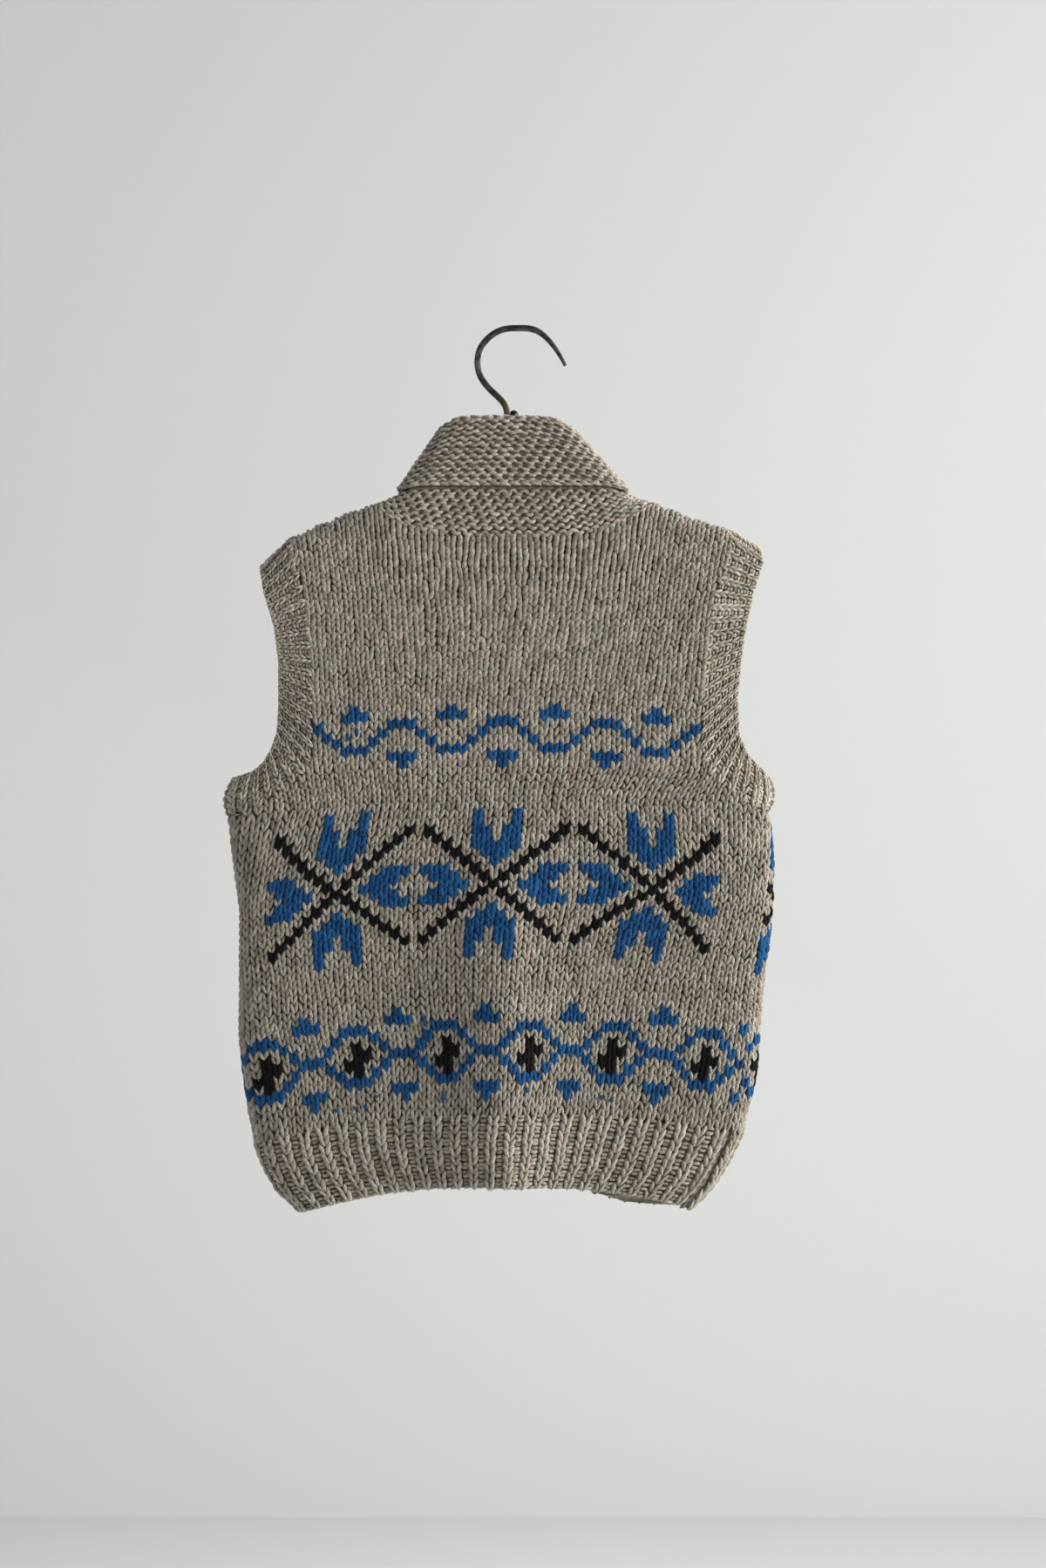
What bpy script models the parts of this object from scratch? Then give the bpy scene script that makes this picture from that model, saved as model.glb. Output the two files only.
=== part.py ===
"""Hand-knit sweater vest hanging flat on an iron hanger.

Frame: +X to the right as the vest's back is looked at, +Z up, the back faces -Y and the front +Y.
The origin is the inner top of the hanger's hook, which hangs on a pin there.
Tables are in millimetres; the meshes are in metres.
"""
import bpy
import bmesh
import math
import numpy as np

MM = 0.001
PANEL_WALL = 5.0          # bulky stockinette
RIB_WALL = 4.2            # plain depth of the ribbed bands and hem
COLLAR_WALL = 4.4         # garter stitch
LAYER_GAP = 1.0           # between the collar's two layers
SEAM_GAP = 0.3
RIB_RAISE = 1.4           # knit columns of the 1x1 rib above the purl columns
RIDGE_RAISE = 1.2         # garter ridges
SIDE_POWER = 14           # how square the flattened tube is before it turns at the sides
SHOULDER_RADIUS = 13.0    # outer rounding over the hanger at the shoulders
BAND_LIP = 10.0           # half opening between the lips of a flattened armhole
HEM_RIBS = 27             # per panel
BAND_RIBS = 48            # around an armhole
FALL_RIDGES = 9           # garter ridges on the folded-over layer
STAND_RIDGES = 6          # ridges that show below its free edge
HOOK_RADIUS = 2.7
ARM_RADIUS = 4.5
KNUCKLE_RADIUS = 4.0

# Fabric levels of the body, from the hem up. A level is arched: its middle is higher than its sides.
# (z_middle, z_left, z_right, x_left, x_right, depth_back, depth_front, fold, seam_turn)
# fold is the height of the soft upright fold in the back, seam_turn how far both side seams have
# turned from the silhouette, the right one towards the back.
LEVELS = {
    "hem":         (-702.0, -727.2, -722.9, -179.3, 143.3, 22.0, 19.0, 24.5, 18.0),
    "rib_low":     (-682.6, -709.9, -704.2, -198.0, 162.7, 22.0, 19.0, 24.5, 19.0),
    "rib_high":    (-663.1, -689.8, -683.3, -210.2, 175.7, 21.0, 18.5, 24.0, 20.0),
    "rib_top":     (-644.4, -669.6, -661.7, -217.4, 185.8, 20.0, 18.0, 23.5, 20.0),
    "ring_foot":   (-621.4, -646.6, -636.5, -221.8, 192.2, 19.5, 18.0, 22.5, 20.0),
    "ring_middle": (-592.6, -617.8, -607.7, -226.1, 197.3, 19.0, 17.5, 21.5, 20.0),
    "ring_head":   (-558.0, -582.5, -571.7, -230.4, 200.2, 19.0, 17.0, 19.5, 19.0),
    "bloom_foot":  (-518.4, -542.2, -534.2, -229.7, 203.8, 18.5, 17.0, 15.5, 18.0),
    "bloom_low":   (-486.7, -510.5, -504.0, -229.7, 207.4, 18.5, 17.0, 12.0, 16.0),
    "bloom":       (-455.0, -478.8, -473.8, -229.7, 210.2, 18.0, 16.5, 8.0, 13.0),
    "bloom_head":  (-419.0, -439.2, -436.3, -234.7, 211.0, 18.0, 16.0, 3.5, 8.0),
    "chest":       (-399.6, -414.7, -411.1, -237.6, 208.8, 18.0, 16.0, 1.0, 3.0),
    "underarm":    (-388.8, -401.2, -397.6, -239.0, 206.6, 18.0, 16.0, 0.0, 0.0),
}
BODY_NAMES = ["rib_top", "ring_foot", "ring_middle", "ring_head", "bloom_foot",
              "bloom_low", "bloom", "bloom_head", "chest", "underarm"]
HEM_NAMES = ["hem", "rib_low", "rib_high", "rib_top"]

# Soft upright fold in the back: crest and the reach of its two flanks.
FOLD_X = -11.0
FOLD_LEFT = 36.0
FOLD_RIGHT = 25.0

# Armhole seam of the panels, from the underarm up: (x, z)
ARMHOLE_LEFT = [(-226.8, -398.2), (-216.0, -393.1), (-198.0, -380.9),
                (-181.4, -370.8), (-172.1, -361.4), (-167.8, -347.0), (-168.5, -323.3),
                (-168.5, -291.6), (-169.9, -252.0), (-175.7, -216.0), (-181.4, -193.0)]
ARMHOLE_RIGHT = [(195.8, -394.6), (186.5, -390.2), (175.7, -380.9),
                 (161.3, -370.8), (154.1, -361.4), (149.0, -347.0), (150.5, -323.3),
                 (150.5, -291.6), (154.1, -252.0), (161.3, -216.0), (169.2, -190.8)]
SHOULDER_STEPS = [0.42, 0.66, 0.84, 0.94, 1.0]
SHOULDER_TIP_LEFT = (-186.5, -170.6)
SHOULDER_TIP_RIGHT = (175.7, -165.0)

# Cast-off edge of the armhole bands, from the shoulder down to the underarm: (x, z)
BAND_LEFT = [(-213.1, -195.8), (-209.5, -216.0), (-200.9, -244.8), (-197.3, -273.6),
             (-197.3, -311.0), (-198.7, -331.2), (-203.0, -344.2), (-209.5, -355.7),
             (-217.4, -362.9), (-234.0, -368.6)]
BAND_RIGHT = [(200.0, -179.6), (202.6, -191.5), (193.0, -216.0), (184.3, -244.8), (179.3, -273.6),
              (177.1, -302.4), (179.3, -331.2), (182.9, -339.8), (187.9, -349.2),
              (195.8, -357.1), (205.9, -367.2)]

# Outline of the flattened vest above the underarm: (z, x_left, x_right)
UPPER_OUTLINE = [(-401.2, -239.0, 206.6), (-388.0, -242.4, 211.7), (-368.0, -234.0, 206.2),
                 (-356.0, -210.0, 195.0), (-340.0, -201.5, 183.0), (-311.0, -197.3, 178.0),
                 (-273.6, -197.3, 179.3), (-244.8, -200.9, 184.3), (-216.0, -209.5, 193.0),
                 (-190.0, -213.1, 202.3), (-145.0, -213.1, 202.3)]
# Half depth of the two layers above the underarm: (z, back, front)
UPPER_DEPTH = [(-401.2, 18.0, 16.0), (-300.0, 15.5, 14.5), (-200.0, 13.5, 13.0), (-145.0, 13.0, 13.0)]

# Line along which the flattened vest closes over the top: (x, z)
TOP_CLOSE = [(-242.6, -230.4), (-213.1, -195.8), (-186.5, -170.6), (-168.5, -161.4),
             (-139.7, -149.8), (-116.6, -141.8), (-100.1, -131.0), (-77.0, -100.8),
             (-53.3, -72.0), (33.1, -70.6), (58.3, -97.2), (92.2, -131.0), (112.3, -141.6),
             (141.1, -152.6), (169.9, -162.6), (175.7, -165.0), (200.9, -181.4), (216.7, -223.2)]

# Top edge of the back: shoulder, neckline, shoulder: (x, z)
BACK_TOP = [(-186.5, -170.6), (-168.5, -161.4), (-139.7, -149.8), (-116.6, -141.8),
            (-110.9, -146.6), (-103.7, -152.4), (-94.3, -158.6), (-82.1, -162.7),
            (-62.6, -165.6), (-35.3, -168.5), (-4.3, -169.2), (31.0, -169.2), (56.2, -165.6),
            (72.7, -162.0), (85.7, -156.2), (97.9, -149.6), (105.1, -145.6), (112.3, -141.6),
            (141.1, -152.6), (169.9, -162.6), (175.7, -165.0)]
# Top edge of the front: shoulder, V opening, shoulder: (x, z)
FRONT_TOP = [(-186.5, -170.6), (-168.5, -161.4), (-139.7, -149.8), (-116.6, -141.8),
             (-4.3, -360.0), (112.3, -141.6), (141.1, -152.6), (169.9, -162.6), (175.7, -165.0)]
# Where the panels' columns stand, as fractions of their width; close at the sides and the neck.
COLUMNS = [0.0, 0.012, 0.026, 0.05, 0.085, 0.129, 0.165, 0.193, 0.209, 0.229, 0.2546, 0.288,
           0.342, 0.38, 0.4175, 0.445, 0.472, 0.503, 0.534, 0.565, 0.6, 0.635, 0.67, 0.7156,
           0.7515, 0.7852, 0.805, 0.825, 0.86, 0.9045, 0.95, 0.974, 0.988, 1.0]
NECK_FIRST = 7
NECK_LAST = 27

# Collar over the back of the neck, from the left side to the right side.
# Roll line and free edge of the fold, by the x of the neckline below:
# (x_neck, x_roll, z_roll, y_roll, x_edge, z_edge, y_edge, lean), lean is the turn of the fold's
# outer face: -1 faces -X, 0 faces -Y, 1 faces +X.
COLLAR_BACK = [
    (-116.6, -65.5, -82.1, 0.0, -100.1, -131.8, 0.0, -1.0),
    (-110.9, -63.9, -80.6, -8.2, -98.4, -131.5, -8.8, -0.66),
    (-103.7, -58.8, -78.2, -13.4, -93.4, -131.1, -15.2, -0.42),
    (-94.3, -52.0, -76.2, -15.9, -85.6, -130.8, -18.8, -0.2),
    (-82.1, -43.5, -75.6, -16.4, -74.0, -130.5, -20.0, 0.0),
    (-4.3, -10.1, -75.6, -16.4, -4.3, -130.3, -20.4, 0.0),
    (72.7, 25.0, -75.6, -16.4, 67.0, -130.5, -20.0, 0.0),
    (85.7, 32.8, -76.2, -15.9, 78.5, -130.8, -18.8, 0.2),
    (97.9, 39.6, -78.2, -13.4, 86.3, -131.1, -15.2, 0.42),
    (105.1, 44.5, -80.2, -8.2, 91.2, -131.5, -8.8, 0.66),
    (112.3, 46.1, -81.6, 0.0, 92.9, -131.8, 0.0, 1.0),
]
# Collar down the front, from the shoulder (0) to the base of the V (0.9):
# (share, x_roll, z_roll, y_roll, x_edge, z_edge, y_edge, lean, showing); x is measured from the
# V's middle, showing is how far the stand comes out below the fold's edge.
COLLAR_FRONT = [
    (0.05, 59.6, -85.0, 9.0, 95.0, -136.0, 9.6, 0.64, 1.0),
    (0.115, 57.0, -92.0, 16.0, 96.5, -148.0, 17.0, 0.30, 0.7),
    (0.20, 54.0, -108.0, 19.8, 103.0, -174.0, 20.6, 0.06, 0.2),
    (0.31, 49.0, -138.0, 20.4, 112.0, -214.0, 21.2, 0.0, 0.0),
    (0.48, 40.0, -186.0, 21.0, 103.0, -266.0, 21.6, 0.0, 0.0),
    (0.60, 33.0, -222.0, 21.4, 86.0, -304.0, 22.0, 0.0, 0.0),
    (0.72, 24.5, -258.0, 21.8, 62.0, -338.0, 22.2, 0.0, 0.0),
    (0.81, 16.5, -288.0, 22.2, 37.0, -362.0, 22.4, 0.0, 0.0),
    (0.90, 6.5, -318.0, 22.4, 1.2, -378.0, 22.6, 0.0, 0.0),
]
V_MIDDLE = -4.3

# Hanger, centre lines: (x, z)
HOOK_LINE = [(39.4, -28.4), (35.4, -21.0), (30.7, -13.7), (25.2, -7.0), (19.2, -1.5), (12.8, 1.6), (6.4, 2.7),
             (0.0, 2.7), (-7.0, 2.5), (-14.0, 1.0), (-21.2, -2.8), (-27.4, -8.6), (-31.5, -15.3),
             (-33.2, -22.6), (-33.0, -30.0), (-30.7, -37.3), (-26.6, -43.8), (-21.6, -49.2),
             (-16.2, -54.3), (-11.7, -59.4), (-9.4, -64.4), (-8.7, -69.3)]
HOOK_SCALE = [0.54, 0.64, 0.74, 0.84, 0.92] + [1.0] * 17
HOOK_BENDS = 3            # steps of the bar between two points of its line
KNUCKLE_AT = (-3.2, 4.4, -68.4)
ARMS_LINE = [(-175.7, -180.0), (-155.5, -169.8), (-136.1, -161.6), (-116.6, -156.0),
             (-89.3, -152.0), (-56.9, -139.5), (-28.1, -115.0), (-11.5, -92.5), (-4.0, -77.0),
             (4.3, -91.4), (22.3, -113.0), (51.1, -135.5), (85.0, -150.6), (112.3, -156.4),
             (141.1, -165.4), (166.0, -178.0)]


def table(rows, key, column, at):
    """Linear reading of one column of a table by another."""
    data = np.array([[row[key], row[column]] for row in rows], float)
    if data[0, 0] > data[-1, 0]:
        data = data[::-1]
    return np.interp(at, data[:, 0], data[:, 1])


def lens(share):
    """Depth of the flattened tube, 1 in the middle and 0 at its sides."""
    return np.sqrt(np.maximum(0.0, 1.0 - np.abs(share) ** SIDE_POWER))


def fold_shape(x):
    reach = np.where(x < FOLD_X, FOLD_LEFT, FOLD_RIGHT)
    return 1.0 / np.cosh((x - FOLD_X) / reach)


def level_loop(name):
    """Closed outer loop of one fabric level: back from left to right, then front back to the left."""
    z_mid, z_left, z_right, x_left, x_right, back, front, fold, _ = LEVELS[name]
    turn = np.sin(np.linspace(-math.pi / 2, math.pi / 2, 401))
    middle, half = (x_left + x_right) / 2, (x_right - x_left) / 2
    x = middle + half * turn
    z_side = np.where(turn < 0, z_left, z_right)
    z = z_mid + (z_side - z_mid) * np.abs(turn) ** 2.2
    y_back = -(back + fold * fold_shape(x)) * lens(turn)
    y_front = front * lens(turn)
    loop = np.vstack([np.column_stack([x, y_back, z]),
                      np.column_stack([x, y_front, z])[::-1][1:]])
    steps = np.linalg.norm(np.diff(loop, axis=0), axis=1)
    run = np.concatenate([[0.0], np.cumsum(steps)])
    return loop, run, run[400]


def loop_points(name, side, shares, inset=0.0):
    """Points of a panel on a fabric level, at shares of its width, and their directions across."""
    loop, run, back_end = level_loop(name)
    seam_turn = LEVELS[name][8]
    total = run[-1]
    left, right = -seam_turn, back_end - seam_turn
    if side == "back":
        at = left + inset + (right - left - 2 * inset) * np.asarray(shares)
    else:
        at = left + total - inset + (right - left - total + 2 * inset) * np.asarray(shares)

    def read(place):
        return np.column_stack([np.interp(place % total, run, loop[:, axis]) for axis in range(3)])

    reach = 1.5 if side == "back" else -1.5
    return read(at), read(at + reach) - read(at - reach)


def side_depth(x, z, side):
    """Half depth of the flattened vest above the underarm before it closes over the top."""
    x_left = table(UPPER_OUTLINE, 0, 1, z)
    x_right = table(UPPER_OUTLINE, 0, 2, z)
    depth = table(UPPER_DEPTH, 0, 1 if side == "back" else 2, z)
    lips = np.clip((z + 392.0) / 45.0, 0.0, 1.0)
    share = (x - (x_left + x_right) / 2) / ((x_right - x_left) / 2)
    return depth * lens(np.clip(share, -1, 1) * (1.0 - 0.04 * lips))


def top_rounding(x, z):
    """Share of the depth that is left under the closing line over the top."""
    under_top = np.maximum(0.0, table(TOP_CLOSE, 0, 1, x) - z)
    rise = 1.0 - np.minimum(1.0, under_top / SHOULDER_RADIUS)
    return np.sqrt(np.maximum(0.0, 1.0 - rise ** 2))


def sheet_depth(x, z, side):
    """Half depth of the flattened vest above the underarm, at a point of its outline."""
    return side_depth(x, z, side) * top_rounding(x, z)


def sheet_normal(x, z, side):
    """Outward direction of the flattened vest above the underarm, from the slopes of its half depth."""
    step = 0.4
    slope_x = (side_depth(x + step, z, side) - side_depth(x - step, z, side)) / (2 * step)
    slope_z = (sheet_depth(x, z + step, side) - sheet_depth(x, z - step, side)) / (2 * step)
    sign = -1.0 if side == "back" else 1.0
    normal = np.column_stack([-slope_x * top_rounding(x, z), np.full(len(x), sign), -slope_z])
    return normal / np.linalg.norm(normal, axis=1, keepdims=True)


def armhole_rows():
    """Armhole seam points of both sides, from the first above the underarm to the shoulder tips."""
    left, right = list(ARMHOLE_LEFT), list(ARMHOLE_RIGHT)
    for step in SHOULDER_STEPS:
        left.append(tuple(a + (b - a) * step for a, b in zip(ARMHOLE_LEFT[-1], SHOULDER_TIP_LEFT)))
        right.append(tuple(a + (b - a) * step for a, b in zip(ARMHOLE_RIGHT[-1], SHOULDER_TIP_RIGHT)))
    return left, right


def level_rows(names, side, shares):
    """Points and outward directions of a panel or rib on its fabric levels."""
    rows = [loop_points(name, side, shares, SEAM_GAP / 2) for name in names]
    grid = np.array([points for points, _ in rows])
    normal = grid_normals(grid, np.array([directions for _, directions in rows]))
    return grid, normal if side == "back" else -normal


def panel_grid(side, top):
    """Outer points and outward directions of a panel, a row per level, to the shoulders and neck."""
    shares = np.array(COLUMNS)
    grid, normal = level_rows(["rib_high"] + BODY_NAMES, side, shares)
    rows, normals = list(grid[1:]), list(normal[1:])
    under = rows[-1]
    width = SHOULDER_TIP_RIGHT[0] - SHOULDER_TIP_LEFT[0]
    top_z = table(top, 0, 1, SHOULDER_TIP_LEFT[0] + width * shares)
    sign = -1.0 if side == "back" else 1.0
    for (xl, zl), (xr, zr) in zip(*armhole_rows()):
        rise_left = (zl - under[0, 2]) / (SHOULDER_TIP_LEFT[1] - under[0, 2])
        rise_right = (zr - under[-1, 2]) / (SHOULDER_TIP_RIGHT[1] - under[-1, 2])
        rise = rise_left + (rise_right - rise_left) * shares
        x = xl + (xr - xl) * shares
        z = under[:, 2] + (top_z - under[:, 2]) * rise
        y = sign * (sheet_depth(x, z, side) + SEAM_GAP / 2)
        rows.append(np.column_stack([x, y, z]))
        normals.append(sheet_normal(x, z, side))
    return np.array(rows), np.array(normals)


def grid_normals(grid, across):
    """Unit normals of a grid of points, from their directions across and up it."""
    along = np.gradient(grid, axis=0)
    normal = np.cross(across, along)
    return normal / np.maximum(np.linalg.norm(normal, axis=2, keepdims=True), 1e-9)


def material(name, colour, roughness, metallic=0.0):
    shader = bpy.data.materials.new(name)
    shader.use_nodes = True
    node = shader.node_tree.nodes["Principled BSDF"]
    node.inputs["Base Color"].default_value = (*colour, 1.0)
    node.inputs["Roughness"].default_value = roughness
    node.inputs["Metallic"].default_value = metallic
    shader.diffuse_color = (*colour, 1.0)
    return shader


def add_mesh(name, points, faces, shader, collection):
    """A closed mesh from points in millimetres, its faces turned outwards."""
    mesh = bpy.data.meshes.new(name)
    mesh.from_pydata([tuple(float(c) * MM for c in p) for p in points], [], faces)
    shape = bmesh.new()
    shape.from_mesh(mesh)
    bmesh.ops.triangulate(shape, faces=shape.faces[:])
    bmesh.ops.recalc_face_normals(shape, faces=shape.faces[:])
    shape.to_mesh(mesh)
    shape.free()
    mesh.shade_smooth()
    mesh.set_sharp_from_angle(angle=math.radians(50))
    item = bpy.data.objects.new(name, mesh)
    item.data.materials.append(shader)
    collection.objects.link(item)
    return item


def wall(name, outer, inner, closed, shader, collection):
    """A cloth wall between two grids of the same size, closed round its rims."""
    rows, columns = outer.shape[:2]
    points = np.vstack([outer.reshape(-1, 3), inner.reshape(-1, 3)])
    offset = rows * columns
    faces = []
    cells = columns if closed else columns - 1
    for r in range(rows - 1):
        for c in range(cells):
            d = (c + 1) % columns
            a, b, e, f = r * columns + c, r * columns + d, (r + 1) * columns + d, (r + 1) * columns + c
            faces.append((a, b, e, f))
            faces.append((offset + f, offset + e, offset + b, offset + a))
    for r in (0, rows - 1):
        for c in range(cells):
            d = (c + 1) % columns
            a, b = r * columns + c, r * columns + d
            faces.append((b, a, offset + a, offset + b))
    if not closed:
        for c in (0, columns - 1):
            for r in range(rows - 1):
                a, b = r * columns + c, (r + 1) * columns + c
                faces.append((a, b, offset + b, offset + a))
    return add_mesh(name, points, faces, shader, collection)


def rib_raise(columns, ribs):
    """Raise of each column in a 1x1 rib: a sunk column, then two that carry the rib."""
    pattern = np.array([0.0, RIB_RAISE, RIB_RAISE])
    return np.tile(pattern, ribs)[:columns]


def keep_side(points, side):
    """Keep a panel's inner points on their own side of the middle plane at the shoulder seam."""
    kept = points.copy()
    limit = SEAM_GAP / 2
    if side == "back":
        kept[-8:, :, 1] = np.minimum(kept[-8:, :, 1], -limit)
    else:
        kept[-8:, :, 1] = np.maximum(kept[-8:, :, 1], limit)
    return kept


def build_panel(name, top, shader, collection):
    outer, normal = panel_grid(name, top)
    outer[0, :, 2] += SEAM_GAP / 2
    inner = keep_side(outer - normal * PANEL_WALL, name)
    wall(name, outer, inner, False, shader, collection)
    return outer, inner


def build_hem_rib(name, side, shader, collection):
    columns = HEM_RIBS * 3 + 1
    grid, normal = level_rows(HEM_NAMES + [BODY_NAMES[1]], side, np.linspace(0.0, 1.0, columns))
    grid, normal = grid[:-1], normal[:-1]
    grid[-1, :, 2] -= SEAM_GAP
    raised = grid + normal * rib_raise(columns, HEM_RIBS + 1)[None, :, None]
    wall(name, raised, grid - normal * RIB_WALL, False, shader, collection)


def along(points, shares, guide=None):
    """Points at shares of a polyline's length, or of the length of a guide with as many points."""
    points = np.asarray(points, float)
    guide = points if guide is None else np.asarray(guide, float)
    run = np.concatenate([[0.0], np.cumsum(np.linalg.norm(np.diff(guide, axis=0), axis=1))])
    at = np.asarray(shares) * run[-1]
    return np.column_stack([np.interp(at, run, points[:, axis]) for axis in range(3)])


def build_band(name, column, edge, back, front, shader, collection):
    """Armhole band: a short ribbed tube, flattened, from the panels' armhole seam to its cast-off edge."""
    first = len(BODY_NAMES) - 1
    away = -1.0 if column == 0 else 1.0
    half = BAND_RIBS * 3 // 2
    edge_points = np.array([(x, 0.0, z) for x, z in edge])
    seam_out, seam_in, loops = [], [], [[], []]
    for panel, sign in ((back, -1.0), (front, 1.0)):
        shares = np.arange(half) / half
        at = shares if sign < 0 else 1.0 - shares
        outer, inner = (grid[first:, column][::-1].copy() for grid in panel)
        for line in (outer, inner):
            line[0, 1] = 0.0
            line[-1, 1] = 0.0
        inside = along(outer, at)
        seam_out.append(inside)
        seam_in.append(along(inner, at, outer))
        outside = along(edge_points, at)
        outside[:, 1] = sign * BAND_LIP * np.sqrt(np.maximum(0.0, 1.0 - np.abs(2 * at - 1) ** 10))
        swell = np.maximum(0.0, (at - 0.8) / 0.2) ** 2
        middle = (inside + outside) / 2
        middle[:, 0] += away * 6.0 * swell
        loops[0].append(middle)
        loops[1].append(outside)
    grid = np.array([np.vstack(seam_out)] + [np.vstack(loop) for loop in loops])
    normal = grid_normals(grid, np.roll(grid, -1, axis=1) - np.roll(grid, 1, axis=1))
    if normal[1, half // 2, 1] > 0:
        normal = -normal
    outward = grid[1] - grid[0]
    outward[:, 1] = 0.0
    outward *= SEAM_GAP / np.linalg.norm(outward, axis=1, keepdims=True)
    grid[0] += outward
    lining = grid - normal * RIB_WALL
    lining[0] = np.vstack(seam_in) + outward
    raised = grid + normal * rib_raise(grid.shape[1], BAND_RIBS)[None, :, None]
    raised[0] = grid[0]
    wall(name, raised, lining, True, shader, collection)


def unit(vector):
    return vector / max(np.linalg.norm(vector), 1e-9)


def ridged(a, b, ridges, normal, raise_by):
    """Points from a to b with garter ridges standing up along the normal."""
    points = []
    for k in range(2 * ridges + 1):
        share = k / (2 * ridges)
        points.append(a + (b - a) * share + normal * (raise_by if k % 2 else 0.0))
    return points


def collar_section(seam_out, seam_in, roll, edge, facing, showing):
    """Hairpin section of the folded collar: up the stand, over the roll and down to the free edge."""
    down = unit(edge - roll)
    normal = unit(facing - down * np.dot(facing, down))
    under = COLLAR_WALL + LAYER_GAP
    outer = ridged(roll, edge, FALL_RIDGES, normal, RIDGE_RAISE)
    lip = [edge - normal * COLLAR_WALL]
    crotch = roll + down * 3.0
    back_up = [roll + (edge - roll) * share - normal * COLLAR_WALL for share in (0.66, 0.33)]
    nest = [crotch - normal * COLLAR_WALL, crotch - down * 1.5 - normal * (COLLAR_WALL + 0.3),
            crotch - normal * under]
    tucked = edge - normal * under
    direct = roll + (seam_out - roll) * 0.5 - normal * under * 0.5
    knee = tucked * showing + direct * (1.0 - showing)
    stand_top = crotch - normal * under
    stand = [stand_top + (knee - stand_top) * share for share in (0.33, 0.66)]
    shown = ridged(knee, seam_out, STAND_RIDGES, normal, RIDGE_RAISE * showing)
    shown[1] = knee + (shown[2] - knee) * 0.5 - normal * 0.4 * showing
    inner_knee = knee - normal * COLLAR_WALL
    inner_top = roll - normal * (under + COLLAR_WALL)
    inside = [seam_in, (seam_in + inner_knee) / 2, inner_knee, (inner_knee + inner_top) / 2, inner_top]
    middle = roll - normal * (under + COLLAR_WALL) / 2
    reach = (under + COLLAR_WALL) / 2
    over = [middle - normal * reach * 0.75 - down * reach * 0.66, middle - down * reach,
            middle + normal * reach * 0.75 - down * reach * 0.66]
    return np.array(outer + lip + back_up + nest + stand + shown + inside + over)


def collar_stations(back, front):
    """Sections of the collar from one end at the base of the V, round the neck, to the other."""
    stations = []

    def facing(lean, sign):
        side = math.copysign(min(1.0, abs(lean)), lean)
        return unit(np.array([side, sign * (1.0 - abs(side)), 0.7 * abs(side)]))

    def front_station(column, mirror):
        x_top = -116.6 if mirror < 0 else 112.3
        share = (front[0][-1, column, 0] - x_top) / (V_MIDDLE - x_top)
        read = [float(table(COLLAR_FRONT, 0, k, share)) for k in range(1, 9)]
        roll = np.array([V_MIDDLE + mirror * read[0], read[2], read[1]])
        edge = np.array([V_MIDDLE + mirror * read[3], read[5], read[4]])
        toward = unit(roll - front[0][-1, column]) * 0.4
        return collar_section(front[0][-1, column] + toward, front[1][-1, column] + toward,
                              roll, edge, facing(mirror * read[6], 1.0), read[7])

    middle = COLUMNS.index(0.503)
    for column in range(middle - 1, NECK_FIRST, -1):
        stations.append(front_station(column, -1.0))
    for column in range(NECK_FIRST, NECK_LAST + 1):
        x_neck = back[0][-1, column, 0]
        read = [float(table(COLLAR_BACK, 0, k, x_neck)) for k in range(1, 8)]
        roll = np.array([read[0], read[2], read[1]])
        edge = np.array([read[3], read[5], read[4]])
        seam_out, seam_in = back[0][-1, column].copy(), back[1][-1, column].copy()
        if column in (NECK_FIRST, NECK_LAST):
            seam_out[1] = 0.0
            seam_in[1] = 0.0
        toward = unit(edge - seam_out) * 0.4
        stations.append(collar_section(seam_out + toward, seam_in + toward, roll, edge,
                                       facing(read[6], -1.0), 1.0))
    for column in range(NECK_LAST - 1, middle, -1):
        stations.append(front_station(column, 1.0))
    return stations


def build_collar(back, front, shader, collection):
    stations = collar_stations(back, front)
    count = len(stations[0])
    points = np.vstack(stations)
    faces = []
    for s in range(len(stations) - 1):
        for k in range(count):
            m = (k + 1) % count
            faces.append((s * count + k, s * count + m, (s + 1) * count + m, (s + 1) * count + k))
    faces.append(tuple(range(count)))
    faces.append(tuple((len(stations) - 1) * count + k for k in range(count)))
    add_mesh("collar", points, faces, shader, collection)


def build_bar(name, line, radius, scales, bends, shader, collection):
    """A round iron bar along a centre line in the middle plane, bent smoothly or straight between points."""
    curve = bpy.data.curves.new(name, "CURVE")
    curve.dimensions = "3D"
    curve.bevel_depth = radius * MM
    curve.bevel_resolution = 3
    curve.resolution_u = bends
    curve.use_fill_caps = True
    spline = curve.splines.new("BEZIER")
    spline.bezier_points.add(len(line) - 1)
    handle = "AUTO" if bends > 1 else "VECTOR"
    for point, (x, z), scale in zip(spline.bezier_points, line, scales):
        point.co = (x * MM, 0.0, z * MM)
        point.radius = scale
        point.handle_left_type = handle
        point.handle_right_type = handle
    item = bpy.data.objects.new(name, curve)
    curve.materials.append(shader)
    collection.objects.link(item)


def build_knuckle(shader, collection):
    bpy.ops.mesh.primitive_uv_sphere_add(segments=16, ring_count=10, radius=KNUCKLE_RADIUS * MM,
                                         location=[c * MM for c in KNUCKLE_AT])
    item = bpy.context.object
    item.name = "hanger_knuckle"
    item.data.name = "hanger_knuckle"
    item.data.materials.append(shader)
    item.data.shade_smooth()
    for holder in list(item.users_collection):
        holder.objects.unlink(item)
    collection.objects.link(item)


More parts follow.
